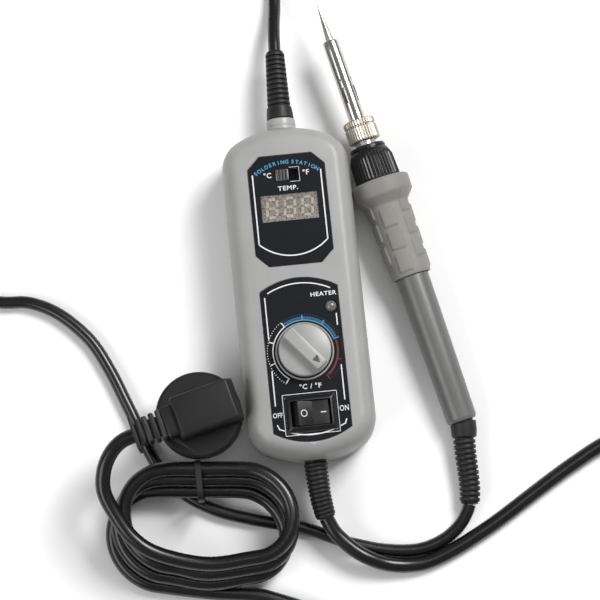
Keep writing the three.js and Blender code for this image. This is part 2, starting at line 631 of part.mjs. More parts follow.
function ironAxis() {
  const heading = THREE.MathUtils.degToRad(IRON_HEADING_DEG);
  const pitch = THREE.MathUtils.degToRad(IRON_PITCH_DEG);
  return new THREE.Vector3(
    -Math.sin(heading) * Math.cos(pitch), Math.cos(heading) * Math.cos(pitch), Math.sin(pitch));
}

function addIron(group) {
  const axis = ironAxis();
  const iron = new THREE.Group();
  iron.position.copy(IRON_BACK_END);
  iron.quaternion.setFromUnitVectors(new THREE.Vector3(0, 0, 1), axis);
  group.add(iron);
  add(iron, 'handle_tube', handleTube(), 'handle');
  add(iron, 'grip_sleeve', gripSleeve(), 'grip');
  add(iron, 'nipple', nipple(), 'black');
  add(iron, 'thread_sleeve', threadSleeve(), 'steel');
  add(iron, 'tip_nut', tipNut(), 'nickel');
  add(iron, 'enclosure_pipe', enclosurePipe(), 'steel');
  add(iron, 'soldering_tip', solderingTip(), 'steel');
  add(iron, 'heater_element', heaterElement(), 'ceramic');
  add(iron, 'terminal_board', box(7.4, 1.4, 60, 92), 'board');
  add(group, 'iron_cord_relief', ironRelief(axis), 'rubber');
}

function addCords(group) {
  add(group, 'iron_cord_a', cordTube(ironCordFromGland, IRON_CORD_RADIUS, 8), 'black');
  add(group, 'iron_cord_coil', ironCoil(), 'black');
  const ironBand = IRON_COIL.outer - IRON_COIL.inner;
  const ironTie = strap(ironBand + 3, GAP, IRON_COIL.height + 1.5, 4);
  const ironTieY = IRON_COIL.y + IRON_COIL.inner + ironBand / 2;
  add(group, 'iron_coil_tie', ironTie, 'rubber', IRON_COIL.x, ironTieY);
  add(group, 'iron_cord_b', cordTube(ironCordToIron, IRON_CORD_RADIUS, 60), 'black');
  add(group, 'mains_cord_a', cordTube(mainsCordOut, MAINS_CORD_RADIUS, 56), 'black');
  add(group, 'mains_cord_coil', mainsCoil(), 'black');
  const mainsTieDepth = MAINS_COIL.back - MAINS_COIL.holeBack + 3;
  const mainsTie = strap(mainsTieDepth, MAINS_TIE_LOW, MAINS_COIL.height + 1.5, 3);
  const mainsTieY = (MAINS_COIL.back + MAINS_COIL.holeBack) / 2;
  add(group, 'mains_coil_tie', mainsTie, 'rubber', MAINS_TIE_X, mainsTieY);
  add(group, 'mains_cord_lead', cordTube(mainsLead, MAINS_CORD_RADIUS, 6), 'black');
}

function addPlug(group) {
  const plug = new THREE.Group();
  plug.position.set(PLUG.x, PLUG.y, 0);
  plug.rotation.z = THREE.MathUtils.degToRad(PLUG.headingDeg);
  group.add(plug);
  add(plug, 'plug_body', plugBody(), 'black');
  add(plug, 'plug_pin_1', plugPin(), 'nickel', 0, -9.5);
  add(plug, 'plug_pin_2', plugPin(), 'nickel', 0, 9.5);
  add(plug, 'earth_clip_1', box(0.8, 4, 19.4, 25.6), 'nickel', -17.4);
  add(plug, 'earth_clip_2', box(0.8, 4, 19.4, 25.6), 'nickel', 17.4);
}

addControlBox(station);
addElectronics(station);
addIron(station);
addCords(station);
addPlug(station);

export default station;
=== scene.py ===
"""Soldering station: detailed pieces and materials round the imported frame. Lengths are in millimetres."""

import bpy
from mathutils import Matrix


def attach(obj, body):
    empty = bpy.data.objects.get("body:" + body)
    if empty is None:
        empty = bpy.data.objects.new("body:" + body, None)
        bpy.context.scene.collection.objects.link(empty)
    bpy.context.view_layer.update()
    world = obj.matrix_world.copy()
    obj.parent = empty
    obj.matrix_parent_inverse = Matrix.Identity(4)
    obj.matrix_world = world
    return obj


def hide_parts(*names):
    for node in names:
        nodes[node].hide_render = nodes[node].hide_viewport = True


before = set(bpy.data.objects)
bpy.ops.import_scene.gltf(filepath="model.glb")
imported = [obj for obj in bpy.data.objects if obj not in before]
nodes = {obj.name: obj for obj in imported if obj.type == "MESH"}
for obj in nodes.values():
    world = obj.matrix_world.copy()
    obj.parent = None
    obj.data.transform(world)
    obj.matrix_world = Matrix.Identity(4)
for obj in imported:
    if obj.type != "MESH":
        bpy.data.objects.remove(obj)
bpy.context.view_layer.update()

import math

import bpy
from mathutils import Matrix, Vector

MM = 0.001
TAU = 2 * math.pi

# ---- Camera: azimuth and elevation in degrees, the rest in metres ----
CAMERA_AZIMUTH, CAMERA_ELEVATION = -5.8, 80
CAMERA_TARGET = Vector((0.0005, -0.0022, 0.015))
CAMERA_LENS = 138.7

# ---- The box and what sits on its face ----
GLAND_Z = 16
CASE_HALF_WIDTH, CASE_HALF_LENGTH = 27.5, 72.5
CASE_END_RADIUS, CASE_CORNER_RADIUS = 45, 13.5
KNOB_Y, ROCKER_Y = -27.5, -54
WINDOW_Y, SWITCH_Y = 35.4, 49.5
LED_PLACE = (12.9, -9.2)
WINDOW_HALF = (12.5, 6.2)
SWITCH_HALF = (4.8, 2.6)
ROCKER_BEZEL_HALF = (10.5, 7.5)
ROCKER_BODY_HALF = (9.3, 6.3)
ROCKER_RADIUS, ROCKER_CROWN, ROCKER_FLOOR = 8.2, 3.5, -5.5  # the paddle, measured from its pivot
ROCKER_TILT = 12  # how far each of the paddle's facets slopes, and how far it's tipped at rest
ROCKER_PIVOT_Z = 30.6
CASE_CUT = (28, 34.5)  # heights that the openings in the front shell pass through
LABEL_CUT = (32, 34)  # the same for the openings in the labels
LABEL_HALF_WIDTH = 16.5
UPPER_LOW, UPPER_HIGH, UPPER_CHAMFER = 10.2, 58.3, 5.2
LOWER_LOW, LOWER_HIGH, LOWER_BULGE = -61, -0.5, 4.8
KNOB_REST = -50  # where the pointer stands at rest, in degrees

# ---- Printing ----
PRINT_LOW, PRINT_HIGH = 33.02, 33.1
CROSSING = PRINT_LOW - 0.01, PRINT_HIGH + 0.02  # a line that crosses another stands a little prouder
OUTLINE_X = 14.7  # the white line down each side of a label
TITLE = "SOLDERING STATION"
TITLE_ARC, TITLE_CENTRE = 22.9, 32.2
TITLE_STEP = 4.55  # degrees from one letter to the next
TITLE_GAP = 0.6  # how much narrower than a letter the space is, in letters
WORDS = (  # word, size, x, y and how far its letters are stretched
    ("°C", 3.1, -8.3, 49.7, 1.0), ("°F", 3.2, 8.2, 49.7, 1.0), ("TEMP.", 2.7, 0, 43.6, 1.15),
    ("HEATER", 2.5, 10.2, -3.6, 1.15), ("°C / °F", 2.9, 0.8, -42.6, 1.05),
    ("OFF", 2.9, -14.1, -53.7, 0.78), ("ON", 3.3, 14.1, -53.2, 0.74),
)
DIAL_LOW, DIAL_WHITE, DIAL_BLUE, DIAL_HIGH = 234.5, 124, 18, -53  # ends of the scale's colours, in degrees
DIAL_ARCS = (  # colour, radius, start, stop, steps, width
    ("print_white", 13.5, 124, 234.5, 40, 0.42), ("print_blue", 13.5, 18, 123.4, 40, 0.5),
    ("print_navy", 14.5, 20, 122, 40, 1.0), ("print_red", 14.0, -50, 15, 26, 0.9),
)
DIAL_TICKS = {"print_white": (234.5, 197, 160, 124), "print_blue": (89, 53, 18), "print_red": (-18, -53)}
DIAL_DOTS, DOT_ARC, DOT_RADIUS = 72, 15.9, 0.2

# ---- Display digits ----
DIGIT_PLACES = (-7.6, 0, 7.6)
DIGIT_HALF_WIDTH, DIGIT_HALF_HEIGHT, DIGIT_SLANT = 2.1, 3.9, 0.08
SEGMENT_HALF_LENGTH, SEGMENT_WIDTH = 1.35, 1.15
SEGMENT_PLACES = ((0, 1), (1, 0.5), (1, -0.5), (0, -1), (-1, -0.5), (-1, 0.5), (0, 0))

# ---- The iron: its own frame has Z along it, from the back of the handle ----
IRON_HEADING, IRON_PITCH = math.radians(13.05), math.radians(3.5)
IRON_BACK = Vector((65.1, -60.7, 6.75))
IRON_AXIS = Vector((-math.sin(IRON_HEADING) * math.cos(IRON_PITCH),
                    math.cos(IRON_HEADING) * math.cos(IRON_PITCH), math.sin(IRON_PITCH)))
IRON_TURN = Vector((0, 0, 1)).rotation_difference(IRON_AXIS).to_matrix().to_4x4()
IRON_PLACE = Matrix.Translation(IRON_BACK * MM) @ IRON_TURN
PAD_COLUMNS, PAD_ROWS, PAD_PITCH, PAD_FIRST, PAD_STAGGER = 6, 3, 10.3, 72.6, 5.1
PAD_HALF_WIDTH, PAD_HALF_LENGTH, PAD_RISE = 3.35, 4.35, 0.62
VENT_TURN = 0.2  # the four vents start this far round from the top, in radians

# ---- The plug: its own frame has Z up, and X from the cord to the front ----
PLUG_PLACE = Matrix.Translation(Vector((-47.3, -49, 0)) * MM) @ Matrix.Rotation(math.radians(14), 4, "Z")
PIN_Y = 9.5  # each pin's distance from the middle

# ---- Cords ----
IRON_CORD, MAINS_CORD = 5.4, 6.4
IRON_EXIT = (0.6, 109.3, 13.6)
MAINS_EXIT = (2.1, -96.4, 11.65)
RING_STEP = 2.2  # the least that two rings of a cord's skin lie apart
iron_gland_route = [(0, 66, 16), (0, 76, 16), (0, 85, 16), (0.2, 96, 15.4), (0.6, 109.5, 13.6)]
mains_gland_route = [(0, -66, 16), (0, -74, 16), (0.2, -81, 15.6), (0.8, -89, 14), (2.1, -96.6, 11.6)]
iron_relief_route = [
    IRON_BACK + 8 * IRON_AXIS, IRON_BACK + 3 * IRON_AXIS, IRON_BACK - 0.6 * IRON_AXIS, (65.35, -64.4, 6.5),
    (65.05, -68.8, 6.2), (64.95, -75.4, 5.8), (65.2, -84.1, 5.3), (65.1, -90.5, 5), (64.3, -96.6, 4.75),
]
iron_from_gland = [
    IRON_EXIT, (0.9, 116, 12.1), (1.6, 124, 8.9), (2.6, 132, 5.6), (3.2, 140, 3.7), (3.1, 148, 2.9),
    (2.9, 158, 2.8), (2.7, 168, 2.8),
]
iron_to_iron = [
    (-62, 196.3, 3.6), (-75, 191.5, 2.8), (-92, 184.5, 2.8), (-110, 176.5, 2.8), (-128, 166, 2.8),
    (-142, 151, 2.8), (-149.5, 132, 2.8), (-152.5, 110, 2.8), (-153.5, 85, 2.8), (-154, 60, 2.8),
    (-153, 40, 2.8), (-148.5, 25, 2.8), (-140, 15.5, 2.8), (-129, 12, 2.8), (-117, 10.6, 2.8),
    (-104.4, 4, 2.8), (-92.3, -8.4, 2.8), (-84.8, -22.5, 2.8), (-79.4, -36.3, 2.8), (-75, -48, 2.8),
    (-70.3, -61.3, 2.8), (-64.6, -71.6, 2.8), (-55.7, -81, 2.8), (-44, -88.2, 2.8), (-30.7, -93, 2.8),
    (-17.7, -96.6, 2.8), (-6.8, -99.7, 2.8), (2.9, -104, 2.8), (9.3, -107, 2.8), (17.7, -109.9, 2.8),
    (25.2, -112, 2.8), (36, -113.5, 2.8), (44.3, -112.9, 2.8), (53, -109.6, 2.8), (59.6, -104.5, 3.6),
    (63, -99.6, 4.5), (64.2, -96.8, 4.75),
]
mains_out = [
    MAINS_EXIT, (5, -102.8, 10.4), (8.8, -107.4, 9.6), (13.4, -111.8, 8.8), (18.8, -115.4, 7.8),
    (26, -118.4, 5.4), (34.8, -119.8, 3.8), (44, -119.2, 3.3), (55.4, -115.2, 3.3), (66.8, -109.6, 3.3),
    (77, -104, 3.3), (92, -94.8, 3.3), (102.9, -88.2, 3.3), (113.2, -82.4, 3.3), (123.5, -77.1, 3.3),
    (134, -73.4, 3.3), (146, -72.8, 3.3), (156.5, -78, 3.3), (163.5, -88, 3.3), (165.5, -101, 3.3),
    (163, -114.5, 3.3), (156.5, -127.5, 3.3), (146, -139, 3.3), (132, -147, 3.3), (114, -151, 3.3),
    (94, -152, 3.3), (72, -151.6, 3.3), (48, -150.2, 3.3), (26, -147.2, 3.3), (6, -141, 3.3),
    (-12, -133.2, 3.3), (-22, -129, 3.3), (-32, -125.6, 3.3),
]
mains_lead = [
    (-90.2, -77, 28.4), (-88.9, -68.4, 31.2), (-85.2, -61.9, 32.9), (-80.4, -57.8, 33.8), (-75.2, -56, 34),
]

# ---- The iron's cord coil, with places along it counted in turns ----
COIL_CENTRE = (-27.7, 178)
COIL_OUTER, COIL_INNER, COIL_LOW, COIL_HIGH = 30.2, 24.6, 2.8, 8.3
COIL_TURNS, COIL_STEPS = 3.31, 22
COIL_INWARD, COIL_UPWARD, COIL_OUTWARD = (0.72, 0.26), (1.68, 0.3), (2.7, 0.3)  # start and length of each

# ---- The mains lead's hank: tips of the folds as (x, z), and runs at the middle as (y, z) ----
HANK_MIDDLE = -50
HANK_SLOPE = -0.101  # how far the hank is turned out of line with X
HANK_BOW = 2.4  # how far the front runs bulge at the middle
hank_left = [(-89.5, 5.2), (-86.5, 11.4), (-83.5, 17.4)]
hank_front = [(-120.3, 3.3), (-116.8, 9.2), (-113, 14.7), (-109.3, 20.2)]
hank_back = [(-79.6, 9.9), (-75.2, 14.8), (-71.2, 19.9)]
hank_right = [(-15.5, 8.6), (-12.9, 14.8), (-12.2, 21.3)]
hank_leaving = [(-70, -107.6, 22), (-80.4, -100.6, 24), (-87, -89.8, 26.2)]

# ---- What the pieces left as CAD are made of ----
plain_looks = {
    "main_board": "board", "terminal_board": "board", "display_module": "black", "unit_switch_body": "black",
    "pot_body": "dull", "pot_shaft": "nickel", "control_chip": "black", "triac": "black",
    "dropper_capacitor": "film", "fuse": "lens", "iron_connector": "ceramic", "thread_sleeve": "dull",
    "heater_element": "ceramic", "earth_clip_1": "nickel", "earth_clip_2": "nickel",
}
for screw in range(1, 5):
    plain_looks[f"case_screw_{screw}"] = "dull"
for terminal in range(1, 5):
    plain_looks[f"rocker_terminal_{terminal}"] = "brass"

# ---- Studio: sizes and places in metres, power in watts ----
WORLD_STRENGTH = 0.24
LIGHTS = (
    ("key", (0.7, 0.7), 31, (0.93, 0.76, 1.44)),
    ("fill", (1.4, 0.9), 15, (-1.35, -0.6, 1.35)),
    ("strip", (0.08, 0.9), 0.8, (0.25, 0.1, 0.75)),
)
FLOOR_HALF, FLOOR_Z = 2500, -0.02


def add_camera():
    azimuth, elevation = math.radians(CAMERA_AZIMUTH), math.radians(CAMERA_ELEVATION)
    flat = math.cos(elevation)
    back = Vector((math.sin(azimuth) * flat, -math.cos(azimuth) * flat, math.sin(elevation)))
    camera = bpy.data.objects.new("camera", bpy.data.cameras.new("camera"))
    bpy.context.scene.collection.objects.link(camera)
    camera.data.lens = CAMERA_LENS
    camera.location = CAMERA_TARGET + back
    camera.rotation_mode = "QUATERNION"
    camera.rotation_quaternion = (-back).to_track_quat("-Z", "Y")
    bpy.context.scene.camera = camera


# ---- Materials ----
def noise(tree, place, scale, detail, stretch=None):
    node = tree.nodes.new("ShaderNodeTexNoise")
    node.inputs["Scale"].default_value = scale
    node.inputs["Detail"].default_value = detail
    source = place
    if stretch:
        mapping = tree.nodes.new("ShaderNodeMapping")
        mapping.inputs["Scale"].default_value = stretch
        tree.links.new(place, mapping.inputs["Vector"])
        source = mapping.outputs["Vector"]
    tree.links.new(source, node.inputs["Vector"])
    return node.outputs["Fac"]


def spread(tree, source, low, high, start=0.3, stop=0.7):
    """The source's values from start to stop, stretched to run from low to high."""
    node = tree.nodes.new("ShaderNodeMapRange")
    for name, value in (("From Min", start), ("From Max", stop), ("To Min", low), ("To Max", high)):
        node.inputs[name].default_value = value
    tree.links.new(source, node.inputs["Value"])
    return node.outputs["Result"]


def blend_colours(tree, factor, first, second):
    node = tree.nodes.new("ShaderNodeMix")
    node.data_type = "RGBA"
    tree.links.new(factor, node.inputs[0])
    for socket, value in ((node.inputs[6], first), (node.inputs[7], second)):
        if isinstance(value, bpy.types.NodeSocket):
            tree.links.new(value, socket)
        else:
            socket.default_value = (*value, 1)
    return node.outputs[2]


def material(name, colour, roughness, metallic=0.0, drift=0.07, drift_scale=70, grain=2600, bump=0.2,
             depth=0.02, rough_spread=0.05, stretch=None, speck=None, edge_highlight=None, **sockets):
    """A surface with colour drift, uneven roughness, fine relief and, if asked, specks and a painted
    highlight that lightens convex edges.
    """
    made = bpy.data.materials.new(name)
    made.use_nodes = True
    tree = made.node_tree
    shader = tree.nodes["Principled BSDF"]
    shader.inputs["Metallic"].default_value = metallic
    for socket, value in sockets.items():
        shader.inputs[socket.replace("_", " ")].default_value = value
    place = tree.nodes.new("ShaderNodeTexCoord").outputs["Object"]
    broad = spread(tree, noise(tree, place, drift_scale, 3, stretch), 0, 1)
    darker = [c * (1 - drift) for c in colour]
    lighter = [min(c * (1 + drift), 1) for c in colour]
    shade = blend_colours(tree, broad, darker, lighter)
    if speck:
        speck_colour, speck_scale, start, stop = speck
        specks = spread(tree, noise(tree, place, speck_scale, 2), 0, 1, start, stop)
        shade = blend_colours(tree, specks, shade, speck_colour)
    # Painted highlight: convex edges, found by pointiness, are blended towards a lighter colour.
    if edge_highlight:
        highlight_colour, start, stop = edge_highlight
        edges = tree.nodes.new("ShaderNodeNewGeometry").outputs["Pointiness"]
        highlight_mask = spread(tree, edges, 0, 1, start, stop)
        shade = blend_colours(tree, highlight_mask, shade, highlight_colour)
    tree.links.new(shade, shader.inputs["Base Color"])
    patches = noise(tree, place, grain * 0.2, 4, stretch)
    rough = spread(tree, patches, roughness - rough_spread, roughness + rough_spread)
    tree.links.new(rough, shader.inputs["Roughness"])
    relief = tree.nodes.new("ShaderNodeBump")
    relief.inputs["Strength"].default_value = bump
    relief.inputs["Distance"].default_value = depth * MM
    tree.links.new(noise(tree, place, grain, 2, stretch), relief.inputs["Height"])
    tree.links.new(relief.outputs["Normal"], shader.inputs["Normal"])
    return made


look = {
    # The case's lighter convex edges are a painted highlight.
    "case": material("case_plastic", (0.325, 0.324, 0.316), 0.42, grain=3800, bump=0.28, depth=0.03,
                     drift=0.04, edge_highlight=((0.46, 0.455, 0.44), 0.53, 0.62)),
    "label": material("label_film", (0.007, 0.0075, 0.011), 0.5, grain=5200, bump=0.22, drift=0.16,
                      speck=((0.035, 0.037, 0.045), 5200, 0.66, 0.8), Specular_IOR_Level=0.12),
    "window": material("window_film", (0.24, 0.215, 0.185), 0.24, grain=3000, drift=0.12, bump=0.1,
                       speck=((0.055, 0.047, 0.040), 1500, 0.5, 0.64), Coat_Weight=0.3, Coat_Roughness=0.1),
    "segment": material("segment_grey", (0.40, 0.365, 0.315), 0.3, grain=3000, drift=0.12,
                        speck=((0.16, 0.14, 0.12), 1700, 0.54, 0.68)),
    # The knob's lighter convex edges are a painted highlight.
    "knob": material("knob_plastic", (0.345, 0.345, 0.338), 0.36, grain=3200, bump=0.18, drift=0.04,
                     edge_highlight=((0.5, 0.5, 0.49), 0.54, 0.64)),
    "trim": material("trim_plastic", (0.36, 0.36, 0.35), 0.38, grain=3000, drift=0.05),
    "lens": material("lens_plastic", (0.13, 0.128, 0.122), 0.26, grain=1400, drift=0.4, drift_scale=900,
                     Coat_Weight=0.5, Coat_Roughness=0.08),
    # The black plastic's lighter convex edges are a painted highlight.
    "black": material("black_plastic", (0.010, 0.010, 0.011), 0.3, grain=3400, bump=0.16, drift=0.2,
                      edge_highlight=((0.045, 0.045, 0.047), 0.54, 0.66), Specular_IOR_Level=0.35),
    # The plug's lighter convex edges are a painted highlight.
    "plug": material("plug_plastic", (0.0095, 0.009, 0.0088), 0.44, grain=2600, bump=0.35, depth=0.03,
                     drift=0.15, edge_highlight=((0.055, 0.052, 0.05), 0.53, 0.64), Specular_IOR_Level=0.3),
    # The rubber's lighter rib crests and edges are a painted highlight.
    "rubber": material("relief_rubber", (0.012, 0.012, 0.013), 0.5, grain=2200, bump=0.35, depth=0.03,
                       drift=0.2, edge_highlight=((0.045, 0.045, 0.047), 0.54, 0.66), Specular_IOR_Level=0.35),
    "cord": material("cord_sheath", (0.005, 0.005, 0.0053), 0.28, grain=900, bump=0.1, depth=0.02, drift=0.2,
                     drift_scale=40, rough_spread=0.035, Coat_Weight=0.15, Coat_Roughness=0.2,
                     Specular_IOR_Level=0.45),
    # The slider's light grey convex edges are a painted highlight.
    "slider": material("slider_plastic", (0.05, 0.048, 0.045), 0.35, grain=2600, drift=0.15,
                       edge_highlight=((0.5, 0.48, 0.45), 0.53, 0.6)),
    # A dark colour for the floor of the knob's arrow cut: painted shade in the hollow.
    "painted_hollow_shade": material("pointer_painted_shade", (0.075, 0.062, 0.05), 0.5, grain=2600, drift=0.15),
    "tie": material("tie_plastic", (0.016, 0.016, 0.017), 0.42, grain=1800, drift=0.15,
                    Specular_IOR_Level=0.35),
    # The grip's lighter pad edges are a painted highlight.
    "grip": material("grip_foam", (0.218, 0.214, 0.196), 0.6, grain=2200, bump=0.4, depth=0.04, drift=0.06,
                     edge_highlight=((0.30, 0.297, 0.27), 0.53, 0.63), Sheen_Weight=0.12),
    "handle": material("handle_plastic", (0.128, 0.127, 0.125), 0.34, grain=2600, bump=0.22, drift=0.06),
    "steel": material("tip_steel", (0.58, 0.565, 0.54), 0.19, 1.0, grain=900, bump=0.1, depth=0.01,
                      drift=0.06, stretch=(1, 1, 0.05), rough_spread=0.06),
    "tip": material("tip_plate", (0.52, 0.50, 0.47), 0.26, 1.0, grain=1400, bump=0.2, drift=0.14,
                    drift_scale=220, rough_spread=0.1),
    "dull": material("plain_steel", (0.45, 0.44, 0.42), 0.36, 1.0, grain=1500, drift=0.08),
    # The nickel's lighter crests and edges are a painted highlight.
    "nickel": material("warm_nickel", (0.5, 0.455, 0.4), 0.38, 1.0, grain=1500, drift=0.08, bump=0.12,
                       edge_highlight=((0.72, 0.63, 0.53), 0.54, 0.66)),
    "brass": material("brass", (0.6, 0.47, 0.22), 0.3, 1.0, grain=1500, drift=0.08),
    "board": material("solder_mask", (0.03, 0.16, 0.06), 0.4, grain=2400, drift=0.12),
    "ceramic": material("ceramic", (0.78, 0.75, 0.68), 0.5, grain=1800, drift=0.05),
    "film": material("dipped_film", (0.58, 0.40, 0.09), 0.3, grain=1500, drift=0.08),
    "floor": material("floor", (0.94, 0.94, 0.94), 0.7, grain=300, bump=0.02, drift=0.004, drift_scale=2,
                      rough_spread=0.03),
}
for ink, colour, drift in (("white", (0.72, 0.74, 0.76), 0.06), ("blue", (0.055, 0.31, 0.50), 0.1),
                           ("navy", (0.012, 0.075, 0.16), 0.1), ("red", (0.115, 0.012, 0.010), 0.15)):
    look[f"print_{ink}"] = material(f"print_{ink}", colour, 0.5, grain=5200, drift=drift, bump=0.1)


# ---- Mesh helpers: a solid is its points in millimetres and its faces ----
def finish_mesh(mesh, angle):
    mesh.shade_smooth()
    mesh.set_sharp_from_angle(angle=math.radians(angle))


def make(name, solid, key, angle=32):
    verts, faces = solid
    mesh = bpy.data.meshes.new(name)
    mesh.from_pydata([Vector(v) * MM for v in verts], [], faces)
    mesh.validate()
    mesh.materials.append(look[key])
    finish_mesh(mesh, angle)
    obj = bpy.data.objects.new(name, mesh)
    bpy.context.scene.collection.objects.link(obj)
    return obj


def combine(obj, solids, operation, key, angle):
    """Cuts or joins each solid into obj's mesh."""
    for solid in solids:
        tool = make("tool", solid, key)
        modifier = obj.modifiers.new("boolean", "BOOLEAN")
        modifier.operation = operation
        modifier.solver = "EXACT"
        modifier.object = tool
        graph = bpy.context.evaluated_depsgraph_get()
        result = bpy.data.meshes.new_from_object(obj.evaluated_get(graph))
        obj.modifiers.clear()
        obj.data = result
        bpy.data.objects.remove(tool)
    finish_mesh(obj.data, angle)


def add_piece(name, solid, key, slot, *replaced, body="station", place=None, angle=32, joins=(), cuts=()):
    """Makes a piece in its place, on its body, and hides the CAD nodes that it replaces. The slot argument is
    not used.
    """
    obj = make(name, solid, key, angle)
    combine(obj, joins, "UNION", key, angle)
    combine(obj, cuts, "DIFFERENCE", key, angle)
    if place:
        obj.matrix_world = place
    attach(obj, body)
    if replaced:
        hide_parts(*replaced)
    return obj


def at(x, y, z=0):
    """A piece's place, given in millimetres."""
    return Matrix.Translation(Vector((x, y, z)) * MM)


def turn(degrees, axis="Z"):
    return Matrix.Rotation(math.radians(degrees), 4, axis)


def moved(solid, matrix):
    verts, faces = solid
    return [tuple(matrix @ Vector(v)) for v in verts], faces


def joined(*solids):
    verts, faces = [], []
    for more_verts, more_faces in solids:
        base = len(verts)
        verts += more_verts
        faces += [tuple(base + i for i in face) for face in more_faces]
    return verts, faces


def stack(loops, ring=False):
    """Closed skin over equal loops. With ring set, the last loop joins the first and there are no caps."""
    count = len(loops[0])
    verts = [v for loop in loops for v in loop]
    faces = []
    pairs = list(zip(range(len(loops) - 1), range(1, len(loops))))
    if ring:
        pairs.append((len(loops) - 1, 0))
    for a, b in pairs:
        for i in range(count):
            j = (i + 1) % count
            faces.append((a * count + i, a * count + j, b * count + j, b * count + i))
    if not ring:
        last = (len(loops) - 1) * count
        faces.append(tuple(range(count - 1, -1, -1)))
        faces.append(tuple(range(last, last + count)))
    return verts, faces


def levels(outline, sections):
    """Closed skin over an outline drawn in by each section's inset at its height."""
    return stack([[(x, y, z) for x, y in outline(inset)] for inset, z in sections])


def turned(profile, sides=72, ring=True, change=None):
    """A turned solid about Z. A ring's profile is closed on itself; otherwise its two ends are capped."""
    loops = []
    for radius, height in profile:
        loop = []
        for i in range(sides):
            angle = TAU * i / sides
            r = change(radius, angle, height) if change else radius
            loop.append((r * math.cos(angle), r * math.sin(angle), height))
        loops.append(loop)
    return stack(loops, ring)


def bar(radius, low, high, x=0, y=0, sides=40):
    verts, faces = turned([(radius, low), (radius, high)], sides, ring=False)
    return [(x + vx, y + vy, z) for vx, vy, z in verts], faces


def soften(profile, radius, ring=True):
    """The profile with each of its corners rounded off by up to radius."""
    out = []
    count, steps = len(profile), 4
    for i, here in enumerate(profile):
        here = Vector(here)
        if not ring and i in (0, count - 1):
            out.append(tuple(here))
            continue
        before, after = Vector(profile[i - 1]), Vector(profile[(i + 1) % count])
        reach = min(radius, (before - here).length * 0.45, (after - here).length * 0.45)
        a = here + (before - here).normalized() * reach
        b = here + (after - here).normalized() * reach
        for k in range(steps + 1):
            t = k / steps
            out.append(tuple(a * (1 - t) ** 2 + here * 2 * t * (1 - t) + b * t ** 2))
    return out


def rounded(corners, radius, inset=0, steps=6):
    """A convex outline, counter-clockwise, drawn in by inset and rounded at its corners."""
    out = []
    count = len(corners)
    for i in range(count):
        before, here, after = (Vector(corners[(i + k) % count]) for k in (-1, 0, 1))
        a, b = (here - before).normalized(), (after - here).normalized()
        normal_a, normal_b = Vector((-a.y, a.x)), Vector((-b.y, b.x))
        inward = (normal_a + normal_b).normalized()
        half = math.acos(max(-1, min(1, inward.dot(normal_a))))
        corner = here + inward * inset / math.cos(half)
        r = max(radius - inset, 0.04)
        centre = corner - a * r * math.tan(half) + normal_a * r
        start = math.atan2(-normal_a.y, -normal_a.x)
        for k in range(steps + 1):
            angle = start + 2 * half * k / steps
            out.append((centre.x + r * math.cos(angle), centre.y + r * math.sin(angle)))
    return out


def rectangle(x0, x1, y0, y1):
    return [(x0, y0), (x1, y0), (x1, y1), (x0, y1)]


def block(x0, x1, y0, y1, z0, z1, radius, edge, steps=5):
    """A box with rounded upright corners and softened top and bottom edges."""
    corners = rectangle(x0, x1, y0, y1)
    rims = [(edge * (1 - math.sin(a)), edge * (1 - math.cos(a))) for a in (0, 0.4, 0.8, 1.2, math.pi / 2)]
    sections = [(inset, z0 + rise) for inset, rise in rims]
    sections += [(inset, z1 - rise) for inset, rise in reversed(rims)]
    return levels(lambda inset: rounded(corners, radius, inset, steps), sections)


def arc_points(centre_x, centre_y, radius, start, stop, steps):
    angles = [math.radians(start + (stop - start) * i / steps) for i in range(steps + 1)]
    return [(centre_x + radius * math.cos(angle), centre_y + radius * math.sin(angle)) for angle in angles]


def smooth_line(points, per):
    """Catmull-Rom points through the given ones."""
    p = [Vector(q) for q in points]
    p = [2 * p[0] - p[1]] + p + [2 * p[-1] - p[-2]]
    out = []
    for a, b, c, d in zip(p, p[1:], p[2:], p[3:]):
        for k in range(per):
            t = k / per
            out.append(0.5 * (2 * b + (c - a) * t + (2 * a - 5 * b + 4 * c - d) * t * t
                              + (3 * b - a - 3 * c + d) * t ** 3))
    out.append(p[-2])
    return out


def travel(line):
    """How far along the line each of its points is."""
    total = [0]
    for a, b in zip(line, line[1:]):
        total.append(total[-1] + (b - a).length)
    return total


def sweep(line, rings, sides):
    """Closed skin of round sections: rings is a list of (distance along the line, radius)."""
    total = travel(line)
    up = Vector((0, 0, 1))
    loops = []
    index = 0
    for distance, radius in rings:
        while index < len(line) - 2 and total[index + 1] < distance:
            index += 1
        t = (distance - total[index]) / (total[index + 1] - total[index])
        centre = line[index].lerp(line[index + 1], t)
        before = line[max(index - 1, 0)]
        after = line[min(index + 2, len(line) - 1)]
        first = (line[index + 1] - before).normalized()
        second = (after - line[index]).normalized()
        tangent = first.lerp(second, min(max(t, 0), 1)).normalized()
        side = up.cross(tangent).normalized()
        top = tangent.cross(side)
        loop = []
        for i in range(sides):
            angle = TAU * i / sides
            loop.append(tuple(centre + side * radius * math.cos(angle) + top * radius * math.sin(angle)))
        loops.append(loop)
    return stack(loops)


def ribbed(start, end, first, last, count, depth):
    """Rounded ribs along a strain relief, as (distance, radius)."""
    pitch = (end - start) / count
    rib = ((0.04, 0), (0.1, 0.02), (0.16, 0.55), (0.22, 0.9), (0.3, 1), (0.74, 1), (0.82, 0.9), (0.88, 0.55),
           (0.93, 0.02), (0.98, 0))
    rings = []
    for i in range(count):
        radius = first + (last - first) * i / (count - 1)
        rings += [(start + (i + place) * pitch, radius - depth * (1 - height)) for place, height in rib]
    return rings


def ease(t):
    t = min(max(t, 0), 1)
    return t * t * (3 - 2 * t)


